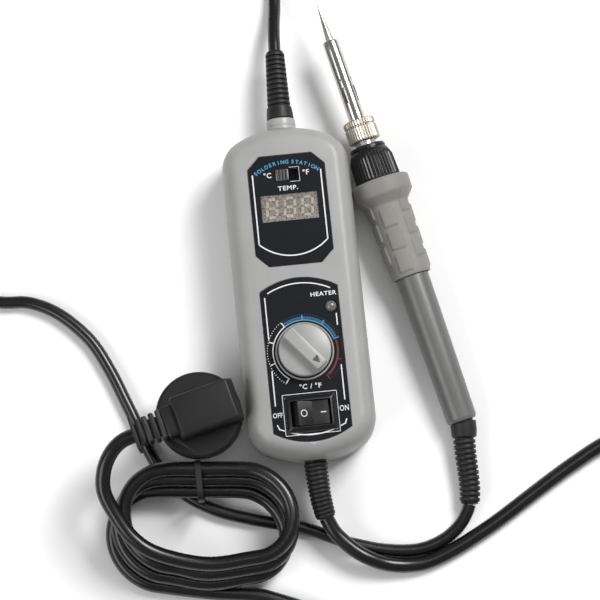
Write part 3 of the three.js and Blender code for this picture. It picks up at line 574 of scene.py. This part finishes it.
# ---- Cords ----
def iron_coil():
    """Turns wound flat, out then in then up then out, leaving along the tangent towards the left."""
    x, y = COIL_CENTRE
    points = []
    for k in range(int(COIL_TURNS * COIL_STEPS) + 1):
        t = k / COIL_STEPS
        inward, upward, outward = (ease((t - start) / length)
                                   for start, length in (COIL_INWARD, COIL_UPWARD, COIL_OUTWARD))
        radius = COIL_OUTER + (COIL_INNER - COIL_OUTER) * (inward - outward)
        z = COIL_LOW + (COIL_HIGH - COIL_LOW) * upward
        points.append((x + radius * math.cos(TAU * t), y + radius * math.sin(TAU * t), z))
    return points


def hank_fold(tip, low, high, side):
    """One fold of the hank, half a turn from the front run to the back run. Side is 1 for the right end."""
    (tip_x, tip_z), (front_y, front_z), (back_y, back_z) = tip, low, high
    radius = (back_y - front_y) / 2
    rise = tip_z - (front_z + back_z) / 2
    fold = []
    for k in range(9):
        share = k / 8
        angle = math.pi * (share - 0.5)
        fold.append((tip_x - side * radius * (1 - math.cos(angle)),
                     (back_y + front_y) / 2 + radius * math.sin(angle),
                     front_z + (back_z - front_z) * share + rise * math.sin(math.pi * share)))
    return fold


def mains_hank():
    """Winds clockwise seen from above: left end to the back, right end to the front."""
    front_middles = [(HANK_MIDDLE, y - HANK_BOW, z) for y, z in hank_front]
    points = [front_middles[0]]
    for i in range(3):
        points += hank_fold(hank_left[i], hank_front[i], hank_back[i], -1)
        points.append((HANK_MIDDLE, *hank_back[i]))
        points += reversed(hank_fold(hank_right[i], hank_front[i + 1], hank_back[i], 1))
        points.append(front_middles[i + 1])
    points += hank_leaving
    return [(x, y + HANK_SLOPE * (x - HANK_MIDDLE), z) for x, y, z in points]


def add_cord(name, route, diameter, replaced):
    line = smooth_line(route, 6)
    length = travel(line)[-1]
    count = int(length / RING_STEP)
    rings = [(length * k / count, diameter / 2) for k in range(count + 1)]
    cord = add_piece(name, sweep(line, rings, 20), "cord", "cord_sheath", *replaced, angle=60)


# ---- Outlines ----
def case_outline(inset):
    """The case seen from above: a large arc at each end, and a smaller one at each corner."""
    corner_steps, end_steps = 12, 16
    end_centre = CASE_HALF_LENGTH - CASE_END_RADIUS
    corner_x = CASE_HALF_WIDTH - CASE_CORNER_RADIUS
    corner_rise = math.sqrt((CASE_END_RADIUS - CASE_CORNER_RADIUS) ** 2 - corner_x ** 2)
    meet = math.degrees(math.atan2(corner_rise, corner_x))
    corner_y = end_centre + corner_rise
    quarter = arc_points(corner_x, corner_y, CASE_CORNER_RADIUS - inset, 0, meet, corner_steps)
    quarter += arc_points(0, end_centre, CASE_END_RADIUS - inset, meet, 90, end_steps)[1:]
    top = quarter + [(-x, y) for x, y in reversed(quarter[:-1])]
    return top + [(-x, -y) for x, y in top]


def upper_outline(inset):
    half, low, high, c = LABEL_HALF_WIDTH, UPPER_LOW, UPPER_HIGH, UPPER_CHAMFER
    corners = [(-half + c, low), (half - c, low), (half, low + c), (half, high - c), (half - c, high),
               (-half + c, high), (-half, high - c), (-half, low + c)]
    return rounded(corners, 0.5, inset, 3)


def lower_outline(inset):
    """Straight sides, with a bulging arc above and below."""
    steps = 20
    radius = (LABEL_HALF_WIDTH ** 2 + LOWER_BULGE ** 2) / (2 * LOWER_BULGE) - inset
    reach = math.degrees(math.asin((LABEL_HALF_WIDTH - inset) / radius))
    upper_centre = LOWER_HIGH + LOWER_BULGE - radius - inset
    lower_centre = LOWER_LOW - LOWER_BULGE + radius + inset
    top = arc_points(0, upper_centre, radius, 90 - reach, 90 + reach, steps)
    return top + arc_points(0, lower_centre, radius, -90 - reach, -90 + reach, steps)


def opening(half_size, y, margin, heights):
    """A cutter for a rectangular opening in the face, larger than half_size by margin on each side."""
    half_x, half_y = half_size[0] + margin, half_size[1] + margin
    return block(-half_x, half_x, y - half_y, y + half_y, *heights, 0.3, 0.05, 2)


# ---- Printing ----
def ribbon(points, width, low=PRINT_LOW, high=PRINT_HIGH):
    """A flat printed stroke along points, squared off at its ends."""
    p = [Vector(q) for q in points]
    loops = []
    for i, here in enumerate(p):
        along = (p[min(i + 1, len(p) - 1)] - p[max(i - 1, 0)]).normalized()
        normal = Vector((-along.y, along.x)) * width / 2
        left, right = tuple(here + normal), tuple(here - normal)
        loops.append([(*left, low), (*left, high), (*right, high), (*right, low)])
    return stack(loops)


def lettering(text, size, x, y, stretch=1):
    curve = bpy.data.curves.new("lettering", "FONT")
    curve.body = text
    curve.size = size
    curve.align_x = "CENTER"
    curve.align_y = "CENTER"
    curve.offset = 0.045
    curve.space_character = 1.1
    curve.resolution_u = 4
    curve.extrude = (PRINT_HIGH - PRINT_LOW) / 2
    obj = bpy.data.objects.new("lettering", curve)
    bpy.context.scene.collection.objects.link(obj)
    bpy.context.view_layer.update()
    mesh = bpy.data.meshes.new_from_object(obj.evaluated_get(bpy.context.evaluated_depsgraph_get()))
    middle = (PRINT_LOW + PRINT_HIGH) / 2
    verts = [(v.co.x * stretch + x, v.co.y + y, v.co.z + middle) for v in mesh.vertices]
    faces = [tuple(face.vertices) for face in mesh.polygons]
    bpy.data.objects.remove(obj)
    return verts, faces


def outline_strokes():
    """The broken white lines round the two labels, the rocker and the slider."""
    strokes = []
    for side in (-1, 1):
        x = side * OUTLINE_X
        bottom = arc_points(0, 35.6, 21.4, -90, -90 + side * 43.4, 16)
        strokes.append(ribbon([(x, 21.6), (x, 50.6)], 0.55))
        strokes.append(ribbon([(x, 21.6), (x, 20)] + bottom[::-1], 0.55))
        strokes.append(ribbon([(x, -49.6), (x, -34.6)], 0.5))
        strokes.append(ribbon([(x, -57.6), (side * 13.9, -59.6), (side * 11.9, -60.4)], 0.5))
    strokes.append(ribbon([(14.9, -17.6), (14.9, -12.4)], 0.5))
    strokes.append(ribbon([(-OUTLINE_X, -21), (-OUTLINE_X, -3)], 0.5))
    strokes.append(ribbon(arc_points(0, -26.6, 28.6, 62, 118, 30), 0.5))
    strokes.append(ribbon(arc_points(0, -34.4, 28.6, -110, -70, 24), 0.5, *CROSSING))
    rocker_line = rounded(rectangle(-11.5, 11.5, ROCKER_Y - 8.7, ROCKER_Y + 8.7), 0.3, 0, 2)
    strokes.append(ribbon(rocker_line + rocker_line[:1], 0.25))
    low, high = SWITCH_Y - 3.15, SWITCH_Y + 3.15
    strokes.append(ribbon([(1.2, high), (5.4, high), (5.4, low), (1.2, low)], 0.22))
    return strokes


def dial_strokes():
    """The scale round the knob, as (colour, stroke)."""
    strokes = []
    for key, radius, start, stop, steps, width in DIAL_ARCS:
        strokes.append((key, ribbon(arc_points(0, KNOB_Y, radius, start, stop, steps), width)))
    for key, ticks in DIAL_TICKS.items():
        for degrees in ticks:
            c, s = math.cos(math.radians(degrees)), math.sin(math.radians(degrees))
            ends = [(radius * c, KNOB_Y + radius * s) for radius in (13.3, 15.6)]
            strokes.append((key, ribbon(ends, 0.45, *CROSSING)))
    for i in range(DIAL_DOTS):
        degrees = DIAL_HIGH + (DIAL_LOW - DIAL_HIGH) * i / (DIAL_DOTS - 1)
        key = "print_white" if degrees > DIAL_WHITE else "print_navy" if degrees > DIAL_BLUE else "print_red"
        c, s = math.cos(math.radians(degrees)), math.sin(math.radians(degrees))
        dot = bar(DOT_RADIUS, PRINT_LOW, PRINT_HIGH, DOT_ARC * c, KNOB_Y + DOT_ARC * s, 8)
        strokes.append((key, dot))
    return strokes


def title_letters():
    letters = []
    first_word, second_word = TITLE.split()
    start = len(first_word) + 1 - TITLE_GAP
    places = [*range(len(first_word)), *(start + i for i in range(len(second_word)))]
    for letter, place in zip(first_word + second_word, places):
        matrix = Matrix.Translation((0, TITLE_CENTRE, 0)) @ turn((7.7 - place) * TITLE_STEP)
        letters.append(moved(lettering(letter, 2.3, 0, TITLE_ARC), matrix))
    return letters


def add_printing():
    words = [lettering(*word) for word in WORDS]
    printed = {"print_white": outline_strokes() + words, "print_blue": title_letters(), "print_navy": [],
               "print_red": []}
    for key, stroke in dial_strokes():
        printed[key].append(stroke)
    for key, strokes in printed.items():
        add_piece(key, joined(*strokes), key, "label_print", angle=60)


# ---- The control box ----
def cord_bore():
    """A cutter through both ends of the box, where the cords go in."""
    return moved(bar(4.9, -80, 80), Matrix.Translation((0, 0, GLAND_Z)) @ turn(90, "X"))


def add_case():
    outside = [(0, 16.15), (0, 18), (0, 20), (0.03, 21.6), (0.16, 23.2), (0.38, 24.8), (0.72, 26.4),
               (1.2, 27.9), (1.85, 29.3), (2.7, 30.6), (3.7, 31.65), (4.8, 32.4), (5.8, 32.82), (6.8, 33)]
    inside = [(8.4, 30.6), (6, 29.4), (4.4, 27.8), (3.2, 25), (2.4, 22), (2.2, 19), (2.2, 16.15)]
    cutters = [levels(outline, [(-0.3, 32.4), (-0.3, 34)]) for outline in (upper_outline, lower_outline)]
    cutters += [
        opening(WINDOW_HALF, WINDOW_Y, 0.3, CASE_CUT),
        opening(SWITCH_HALF, SWITCH_Y, 0.2, CASE_CUT),
        opening(ROCKER_BODY_HALF, ROCKER_Y, 0.3, CASE_CUT),
        bar(4, 28, 34, 0, KNOB_Y),
        bar(2.9, 28, 34, *LED_PLACE),
        cord_bore(),
    ]
    shell = levels(case_outline, inside + outside)
    add_piece("case_front_shell", shell, "case", "case_plastic", "case_front", cuts=cutters)

    outside = [(3, 0), (2.5, 0.12), (2, 0.5), (1.4, 1.2), (0.9, 2.2), (0.4, 3.5), (0.15, 5), (0, 7), (0, 12),
               (0, 15.85)]
    inside = [(2.2, 15.85), (2.2, 8), (2.6, 5), (5, 2.2)]
    screw_holes = [bar(3.1, -1, 3, x, y) for x, y in ((-18, -58), (18, -58), (-18, 58), (18, 58))]
    shell = levels(case_outline, outside + inside)
    add_piece("case_back_shell", shell, "case", "case_plastic", "case_back", cuts=[cord_bore(), *screw_holes])


def add_labels():
    film = [(0, 32.5), (0, 33), (0.06, 33.05)]
    window = opening(WINDOW_HALF, WINDOW_Y, -0.3, LABEL_CUT)
    switch = opening(SWITCH_HALF, SWITCH_Y, 0, LABEL_CUT)
    add_piece("upper_label_film", levels(upper_outline, film), "label", "label_print", "upper_label",
              cuts=[window, switch])
    rocker = opening(ROCKER_BEZEL_HALF, ROCKER_Y, 0.3, LABEL_CUT)
    holes = [bar(3.8, *LABEL_CUT, 0, KNOB_Y), bar(2.8, *LABEL_CUT, *LED_PLACE)]
    add_piece("lower_label_film", levels(lower_outline, film), "label", "label_print", "lower_label",
              cuts=[rocker, *holes])


def add_window():
    half_x, half_y = WINDOW_HALF
    pane = block(-half_x, half_x, WINDOW_Y - half_y, WINDOW_Y + half_y, 31.2, 32.5, 0.3, 0.1, 3)
    add_piece("display_pane", pane, "window", "window_plastic", "display_window")
    bars = []
    for middle in DIGIT_PLACES:
        for across, up in SEGMENT_PLACES:
            x, y = across * DIGIT_HALF_WIDTH, up * DIGIT_HALF_HEIGHT
            if across == 0:
                ends = [(-SEGMENT_HALF_LENGTH, y), (SEGMENT_HALF_LENGTH, y)]
            else:
                ends = [(x, y - SEGMENT_HALF_LENGTH), (x, y + SEGMENT_HALF_LENGTH)]
            slanted = [(middle + end_x + DIGIT_SLANT * end_y, WINDOW_Y + end_y) for end_x, end_y in ends]
            bars.append(ribbon(slanted, SEGMENT_WIDTH, 32.46, 32.56))
    add_piece("display_digits", joined(*bars), "segment", "window_plastic")


def add_knob():
    cap = soften([(10.7, 33.9), (11.15, 34.4), (11.15, 37.5), (10.9, 37.95), (10.4, 38.2)], 0.35, ring=False)
    reach, half = 10.55, 2.8
    edge = math.degrees(math.asin(half / reach))
    ridge_line = arc_points(0, 0, reach, -edge, edge, 8) + arc_points(0, 0, reach, 180 - edge, 180 + edge, 8)

    def ridge_outline(inset):
        return [(x - math.copysign(min(inset, abs(x)), x), y * (1 - inset / half)) for x, y in ridge_line]

    def arrow_outline(inset):
        return rounded([(5.6, -1.7), (9.1, 0), (5.6, 1.7)], 0.3, inset, 3)

    ridge = levels(ridge_outline, [(-0.25, 37.6), (-0.12, 38.3), (0, 39.2), (0.02, 41.4), (0.12, 42),
                                   (0.35, 42.42), (0.7, 42.6)])
    arrow = levels(arrow_outline, [(0, 42.2), (0, 43.5)])
    pointer = levels(arrow_outline, [(0.15, 42.1), (0.15, 42.3), (0.25, 42.36)])
    place = at(0, KNOB_Y) @ turn(KNOB_REST)
    add_piece("knob_cap", turned(cap, 96, ring=False), "knob", "knob_plastic", "temp_knob",
              body="temperature_knob", place=place, angle=40, joins=[ridge], cuts=[arrow, bar(3.3, 30, 38)])
    # A dark sheet on the floor of the arrow cut: painted shade in the hollow.
    add_piece("knob_pointer", pointer, "painted_hollow_shade", "trim_plastic", body="temperature_knob", place=place)
    ring = soften([(11.6, 33.2), (12.45, 33.2), (12.25, 34.3), (11.7, 34.3)], 0.2)
    add_piece("knob_trim_ring", turned(ring, 96), "trim", "trim_plastic", "knob_ring", place=at(0, KNOB_Y),
              angle=40)


def add_led():
    profile = [(2.8, 26.5), (2.8, 27.5), (2.5, 27.5), (2.5, 32.6)]
    dome = (0.2, 0.4, 0.6, 0.8, 1, 1.2, 1.4, 1.52)
    profile += [(2.5 * math.cos(a), 32.6 + 2.1 * math.sin(a)) for a in dome]
    add_piece("heater_lamp", turned(profile, 40, ring=False), "lens", "lens_plastic", "heater_led",
              place=at(*LED_PLACE), angle=40)


def paddle_side():
    """The paddle from the side: part of a drum below, and two facets above that meet at the crown."""
    slope = math.tan(math.radians(ROCKER_TILT))
    a, b, c = 1 + slope ** 2, 2 * ROCKER_CROWN * slope, ROCKER_CROWN ** 2 - ROCKER_RADIUS ** 2
    reach = (-b + math.sqrt(b * b - 4 * a * c)) / (2 * a)
    side = [(-reach, ROCKER_CROWN + slope * reach)]
    for i in range(1, 24):
        angle = math.pi + i * math.pi / 24
        side.append((ROCKER_RADIUS * math.cos(angle), max(ROCKER_RADIUS * math.sin(angle), ROCKER_FLOOR)))
    return side + [(x, ROCKER_CROWN + slope * abs(x)) for x in (reach, reach / 2, 0, -reach / 2)]


def add_rocker():
    bezel = []
    for inset, z in ((0, 33.02), (0, 33.9), (0.25, 34.35), (1.35, 35), (1.6, 35.1)):
        half_x, half_y = (half - inset for half in ROCKER_BEZEL_HALF)
        bezel.append([(x, y, z) for x, y in rounded(rectangle(-half_x, half_x, -half_y, half_y), 0.6, 0, 5)])
    half_x, half_y = ROCKER_BODY_HALF
    housing = block(-half_x, half_x, -half_y, half_y, 18, 33.5, 0.4, 0.1, 3)
    well = block(-8.5, 8.5, -5.5, 5.5, 20.5, 37, 0.4, 0.1, 3)
    add_piece("rocker_bezel", stack(bezel), "black", "black_plastic", "rocker_housing", place=at(0, ROCKER_Y),
              joins=[housing], cuts=[well])

    loops = []
    for y, inset in ((5.2, 0.3), (5.1, 0.1), (4.85, 0), (-4.85, 0), (-5.1, 0.1), (-5.2, 0.3)):
        share = inset / ROCKER_RADIUS
        loops.append([(x * (1 - share), y, z - share * max(z, 0)) for x, z in paddle_side()])
    circle = ribbon(arc_points(-4.1, 0, 1.35, 0, 360, 28), 0.34, -0.04, 0.05)
    dash = ribbon([(3.3, 0), (5.7, 0)], 0.4, -0.04, 0.05)
    crown = Matrix.Translation((0, 0, ROCKER_CROWN))
    circle = moved(circle, crown @ turn(ROCKER_TILT, "Y"))
    dash = moved(dash, crown @ turn(-ROCKER_TILT, "Y"))
    marks = joined(circle, dash)
    place = at(0, ROCKER_Y, ROCKER_PIVOT_Z) @ turn(ROCKER_TILT, "Y")
    add_piece("rocker_key", stack(loops), "black", "black_plastic", "rocker_paddle", body="power_rocker",
              place=place, angle=10)
    add_piece("rocker_marks", marks, "print_white", "label_print", body="power_rocker", place=place)


def add_slider():
    cap = block(-2.7, 2.7, -2.3, 2.3, 31, 33.6, 0.3, 0.15, 3)
    stem = block(-1.7, 1.7, -1.6, 1.6, 25.7, 31.5, 0.3, 0.1, 3)
    fins = [block(x - 0.32, x + 0.32, -2.25, 2.25, 33.2, 34.2, 0.15, 0.12, 2) for x in (-2.1, -0.7, 0.7, 2.1)]
    add_piece("unit_switch_cap", cap, "slider", "black_plastic", "unit_switch_slider", body="unit_slider",
              place=at(-2, SWITCH_Y), joins=[stem, *fins])


def add_relief(name, route, per, rings, node):
    """A ribbed strain relief along a smoothed route."""
    return add_piece(name, sweep(smooth_line(route, per), rings, 40), "rubber", "relief_rubber", node)


def add_glands():
    flange = [(0.2, 4.6), (0.5, 5.9), (0.8, 6.2), (3.3, 6.2), (3.6, 6), (4, 4.6)]
    iron = flange + [(12.1, 4.6), (12.2, 5.6), (12.5, 5.9), (15, 5.75), (17.4, 5.45), (17.8, 5.1), (18, 4.3)]
    iron += ribbed(18.2, 43, 5.05, 4.2, 11, 0.85) + [(43.4, 3.7), (43.7, 3.2)]
    add_relief("iron_side_gland", iron_gland_route, 12, iron, "iron_cord_gland")
    mains = flange + [(7.1, 4.6), (7.2, 5)]
    mains += ribbed(7.3, 30.4, 5.1, 4.45, 13, 0.8) + [(30.8, 4.1), (31, 3.6)]
    add_relief("mains_side_gland", mains_gland_route, 12, mains, "mains_cord_gland")
    collar = soften([(5, 0), (6.45, 0), (6.38, 1.3), (6.2, 1.45), (6.2, 1.75), (6.36, 1.9), (6.3, 4.5),
                     (6.05, 4.9), (5, 4.9)], 0.12)
    add_piece("gland_collar", turned(collar), "trim", "trim_plastic", "gland_ferrule",
              place=at(0, 72.9, GLAND_Z) @ turn(-90, "X"), angle=40)


# ---- The iron ----
def soft_pad(distance, half, edge):
    """1 inside a pad, falling to 0 over its soft edge."""
    return 1 - ease((abs(distance) - half + edge) / edge)


def grip_relief(radius, angle, height):
    """Raises the grip's pads. Every other column of them starts higher."""
    if not 67.5 < height < 104:
        return radius
    column, place = divmod(angle / TAU * PAD_COLUMNS, 1)
    first = PAD_FIRST + PAD_STAGGER * (column % 2)
    across = soft_pad((place - 0.5) * TAU * radius / PAD_COLUMNS, PAD_HALF_WIDTH, 0.7)
    middles = [first + row * PAD_PITCH for row in range(PAD_ROWS)]
    lengthways = max(soft_pad(height - middle, PAD_HALF_LENGTH, 0.8) for middle in middles)
    return radius + PAD_RISE * across * lengthways


def grip_profile():
    profile = [(8.1, 66.6), (8.45, 66.75), (8.7, 67.4), (8.75, 68)]
    for k in range(74):
        height = 68.3 + 0.42 * k
        profile.append((8.8 + 0.55 * (height - 68) / 31, height))
    return profile + [(9.45, 99.4), (9.8, 100), (10.6, 101), (11.5, 102), (12.3, 102.9), (12.75, 103.5),
                      (12.95, 104.1), (13.02, 105), (13.1, 107), (13.1, 109.4), (13, 109.9), (12.7, 110.35),
                      (12.3, 110.6), (11.6, 110.7), (7.7, 110.7), (7.7, 66.6)]


def flutes(count, depth, low, high, sharp):
    """A change of radius that cuts flutes into the outside of a turned solid, from low to high."""
    def change(radius, angle, height):
        if radius < 6 or not low <= height <= high:
            return radius
        return radius - depth * (0.5 + 0.5 * math.cos(count * angle)) ** sharp
    return change


def add_iron():
    handle = soften([(5.2, 0), (5.9, 0), (6.2, 0.3), (6.65, 1.4), (7.3, 66.3), (6.9, 67), (6.9, 104),
                     (5.2, 104)], 0.25)
    add_piece("handle_barrel", turned(handle), "handle", "handle_plastic", "handle_tube", place=IRON_PLACE,
              angle=42)
    pads = turned(grip_profile(), 216, change=grip_relief)
    add_piece("grip_pads", pads, "grip", "grip_foam", "grip_sleeve", place=IRON_PLACE, angle=42)
    nipple = [(5.1, 104.3), (6.8, 104.3), (6.8, 111), (9.9, 111), (10, 111.3)]
    nipple += [(10 - 0.35 * k / 12, 111.5 + 9.4 * k / 12) for k in range(13)]
    nipple += [(9.3, 121.8), (8.6, 123.6), (8.2, 124.6), (7.75, 124.9), (7.7, 125.2), (7.95, 125.4),
               (7.95, 126.3), (7.7, 126.8), (7.4, 126.9), (5.1, 126.9)]
    fluted = turned(nipple, 240, change=flutes(40, 0.5, 111.4, 122, 0.7))
    add_piece("nipple_flutes", fluted, "black", "black_plastic", "nipple", place=IRON_PLACE, angle=42)
    nut = [(4.95, 129.3), (6.4, 129.3), (6.7, 129.45), (7, 129.8)]
    nut += [(7.02, 129.9 + 5.6 * k / 10) for k in range(11)]
    nut += [(6.75, 135.7), (6.55, 135.9), (6.55, 136.2), (6.75, 136.4)]
    nut += [(6.98, 136.6 + 1.7 * k / 5) for k in range(6)]
    nut += [(6.8, 138.7), (6.4, 139.05), (6.1, 139.1), (3.98, 139.1), (3.98, 137.8), (4.95, 137.8)]
    knurled = turned(nut, 288, change=flutes(36, 0.3, 129.7, 138.5, 0.8))
    add_piece("tip_nut_knurled", knurled, "nickel", "nickel", "tip_nut", body="tip_nut", place=IRON_PLACE,
              angle=42)


def add_tip():
    pipe = soften([(3.2, 136.8), (4.65, 136.8), (4.65, 137.4), (3.66, 137.5)], 0.1, ring=False)
    pipe += [(3.66 - 0.1 * k / 10, 138 + 37.6 * k / 10) for k in range(11)]
    pipe += [(3.5, 176), (3.35, 176.35), (3.1, 176.6), (2.6, 176.7), (2.1, 176.7), (2.1, 176), (3.1, 175.9)]
    oval = rounded(rectangle(-1, 1, 147.3, 154.7), 0.99, 0, 8)
    slot = stack([[(x, y, z) for x, z in oval] for y in (-1, -6)])
    hole = moved(bar(0.55, -6, -1, sides=20), Matrix.Translation((0, 0, 158)) @ turn(-90, "X"))
    vents = []
    for quarter in range(4):
        around = Matrix.Rotation(quarter * math.pi / 2 - VENT_TURN, 4, "Z")
        vents += [moved(slot, around), moved(hole, around)]
    add_piece("enclosure_tube", turned(pipe), "steel", "steel", "enclosure_pipe", body="tip_assembly",
              place=IRON_PLACE, angle=40, cuts=vents)
    cone = [(2.15, 146), (2.75, 146), (2.75, 175.5), (1.75, 175.6), (1.75, 177.3)]
    cone += [(1.72 - 1.42 * (k / 14) ** 1.05, 177.6 + 15.4 * k / 14) for k in range(15)]
    cone += [(0.2, 193.45), (0.06, 193.7), (0.05, 170), (2.1, 170)]
    add_piece("tip_cone", turned(cone, 48), "tip", "steel", "soldering_tip", body="tip_assembly",
              place=IRON_PLACE, angle=40)


def add_iron_relief():
    rings = [(0, 4.2), (0.5, 4.6), (8.6, 4.6), (8.7, 5.4), (9, 5.7), (12, 5.6), (14.7, 5.4), (15.1, 5),
             (15.4, 4.2)]
    rings += ribbed(15.8, 43, 4.8, 4.4, 12, 0.8) + [(43.4, 3.9), (43.8, 3.4)]
    return add_relief("iron_side_relief", iron_relief_route, 10, rings, "iron_cord_relief")


# ---- Plug and ties ----
def add_plug():
    disc = soften([(17.5, 19), (18.5, 20), (18.5, 26), (17.3, 27)], 0.8, ring=False)
    disc = [(17.3, 19), *disc[1:-1], (17.2, 27)]
    side = [(-10, 24.6), (17.6, 24.6), (17.8, 38), (15.5, 43), (-9, 43.4), (-10, 42.2)]
    rims = ((8.75, 1.1), (8.7, 0.75), (8.5, 0.4), (8.1, 0.1), (7.6, 0))
    sections = [*rims, *((-y, inset) for y, inset in reversed(rims))]
    joins = [
        stack([[(x, y, z) for x, z in rounded(side, 1.4, inset, 5)] for y, inset in sections]),
        block(-15, -8.5, -6.5, 6.5, 27, 41, 1.2, 0.8),
        block(-28, -10, -3.8, 3.8, 29.4, 38.6, 0.8, 0.5),
        block(-28.8, -27.2, -7.5, 7.5, 27.2, 40.8, 0.6, 0.4),
    ]
    for i in range(4):
        half = 6.2 - 0.3 * i
        middle = -16.2 - 3.1 * i
        joins.append(block(middle - 1.15, middle + 1.15, -half, half, 34 - half, 34 + half, 0.7, 0.45))
    cuts = [block(-5, 20, -9.35, -8.65, 36.2, 45, 0.2, 0.1, 2)]
    cuts += [bar(2.7, 10, 24.3, 0, y) for y in (-PIN_Y, PIN_Y)]
    cuts += [block(x - 1.5, x + 1.5, -3.5, 3.5, 10, 26, 0.4, 0.1, 2) for x in (-18, 18)]
    pieces = [add_piece("plug_shell", turned(disc, 96, ring=False), "plug", "plug_plastic", "plug_body",
                        place=PLUG_PLACE, joins=joins, cuts=cuts)]
    pin_profile = [(0.1, 0), (1.2, 0.05), (1.75, 0.35), (2.1, 0.9), (2.35, 1.6), (2.4, 2.2), (2.4, 24)]
    pin = turned(pin_profile, 40, ring=False)
    for number, y in enumerate((-PIN_Y, PIN_Y), 1):
        pieces.append(add_piece(f"plug_contact_{number}", pin, "nickel", "nickel", f"plug_pin_{number}",
                                place=PLUG_PLACE @ at(0, y), angle=40))
    return pieces


def add_tie(name, x, y, depth, low, high, width, node):
    """A flat strap closed round a bundle that runs along X."""
    wall = 1.1
    half = depth / 2
    inner = rounded(rectangle(-half + wall, half - wall, low + wall, high - wall), 3.2, 0, 8)
    outer = rounded(rectangle(-half, half, low, high), 4.2, 0, 8)
    shrunk = [(py * 0.985, low + (pz - low) * 0.985 + 0.1) for py, pz in outer]
    edge = width / 2
    sections = ((-edge, shrunk), (-edge + 0.2, outer), (edge - 0.2, outer), (edge, shrunk),
                (edge - 0.05, inner), (-edge + 0.05, inner))
    loops = [[(px, py, pz) for py, pz in outline] for px, outline in sections]
    return add_piece(name, stack(loops, ring=True), "tie", "tie_plastic", node, place=at(x, y))


# ---- Pieces left as CAD, lights and floor ----
def dress_nodes():
    for name, key in plain_looks.items():
        node = nodes[name]
        node.data.materials.clear()
        node.data.materials.append(look[key])
        bevel = node.modifiers.new("bevel", "BEVEL")
        bevel.width = 0.15 * MM
        bevel.segments = 2
        bevel.limit_method = "ANGLE"


def add_light(name, size, energy, place):
    """A rectangular lamp that looks at the middle of the scene."""
    lamp = bpy.data.lights.new(name, "AREA")
    lamp.shape = "RECTANGLE"
    lamp.size, lamp.size_y = size
    lamp.energy = energy
    obj = bpy.data.objects.new(name, lamp)
    obj.location = place
    obj.rotation_euler = (-Vector(place)).to_track_quat("-Z", "Y").to_euler()
    bpy.context.scene.collection.objects.link(obj)


def add_studio():
    world = bpy.data.worlds.new("studio")
    bpy.context.scene.world = world
    world.use_nodes = True
    background = world.node_tree.nodes["Background"]
    background.inputs["Color"].default_value = (1, 1, 1, 1)
    background.inputs["Strength"].default_value = WORLD_STRENGTH
    for light in LIGHTS:
        add_light(*light)
    corners = [(x, y, FLOOR_Z) for x, y in rectangle(-FLOOR_HALF, FLOOR_HALF, -FLOOR_HALF, FLOOR_HALF)]
    make("floor", (corners, [(0, 1, 2, 3)]), "floor")
    bpy.context.scene.view_settings.view_transform = "Standard"


add_camera()
add_iron()
add_tip()
relief = add_iron_relief()
plug_pieces = add_plug()
iron_tie = add_tie("iron_hank_tie", -27.7, 205.4, 14.6, 0.3, 12.7, 4, "iron_coil_tie")
mains_tie = add_tie("mains_hank_tie", -50, -76.2, 17.4, 5.7, 24.4, 2.6, "mains_coil_tie")
add_cord("iron_cord", iron_from_gland + iron_coil() + iron_to_iron, IRON_CORD,
         ("iron_cord_a", "iron_cord_coil", "iron_cord_b"))
add_cord("mains_cord", mains_out + mains_hank() + mains_lead, MAINS_CORD,
         ("mains_cord_a", "mains_cord_coil", "mains_cord_lead"))
add_case()
add_labels()
add_printing()
add_window()
add_knob()
add_led()
add_rocker()
add_slider()
add_glands()
dress_nodes()
add_studio()

bpy.context.view_layer.update()
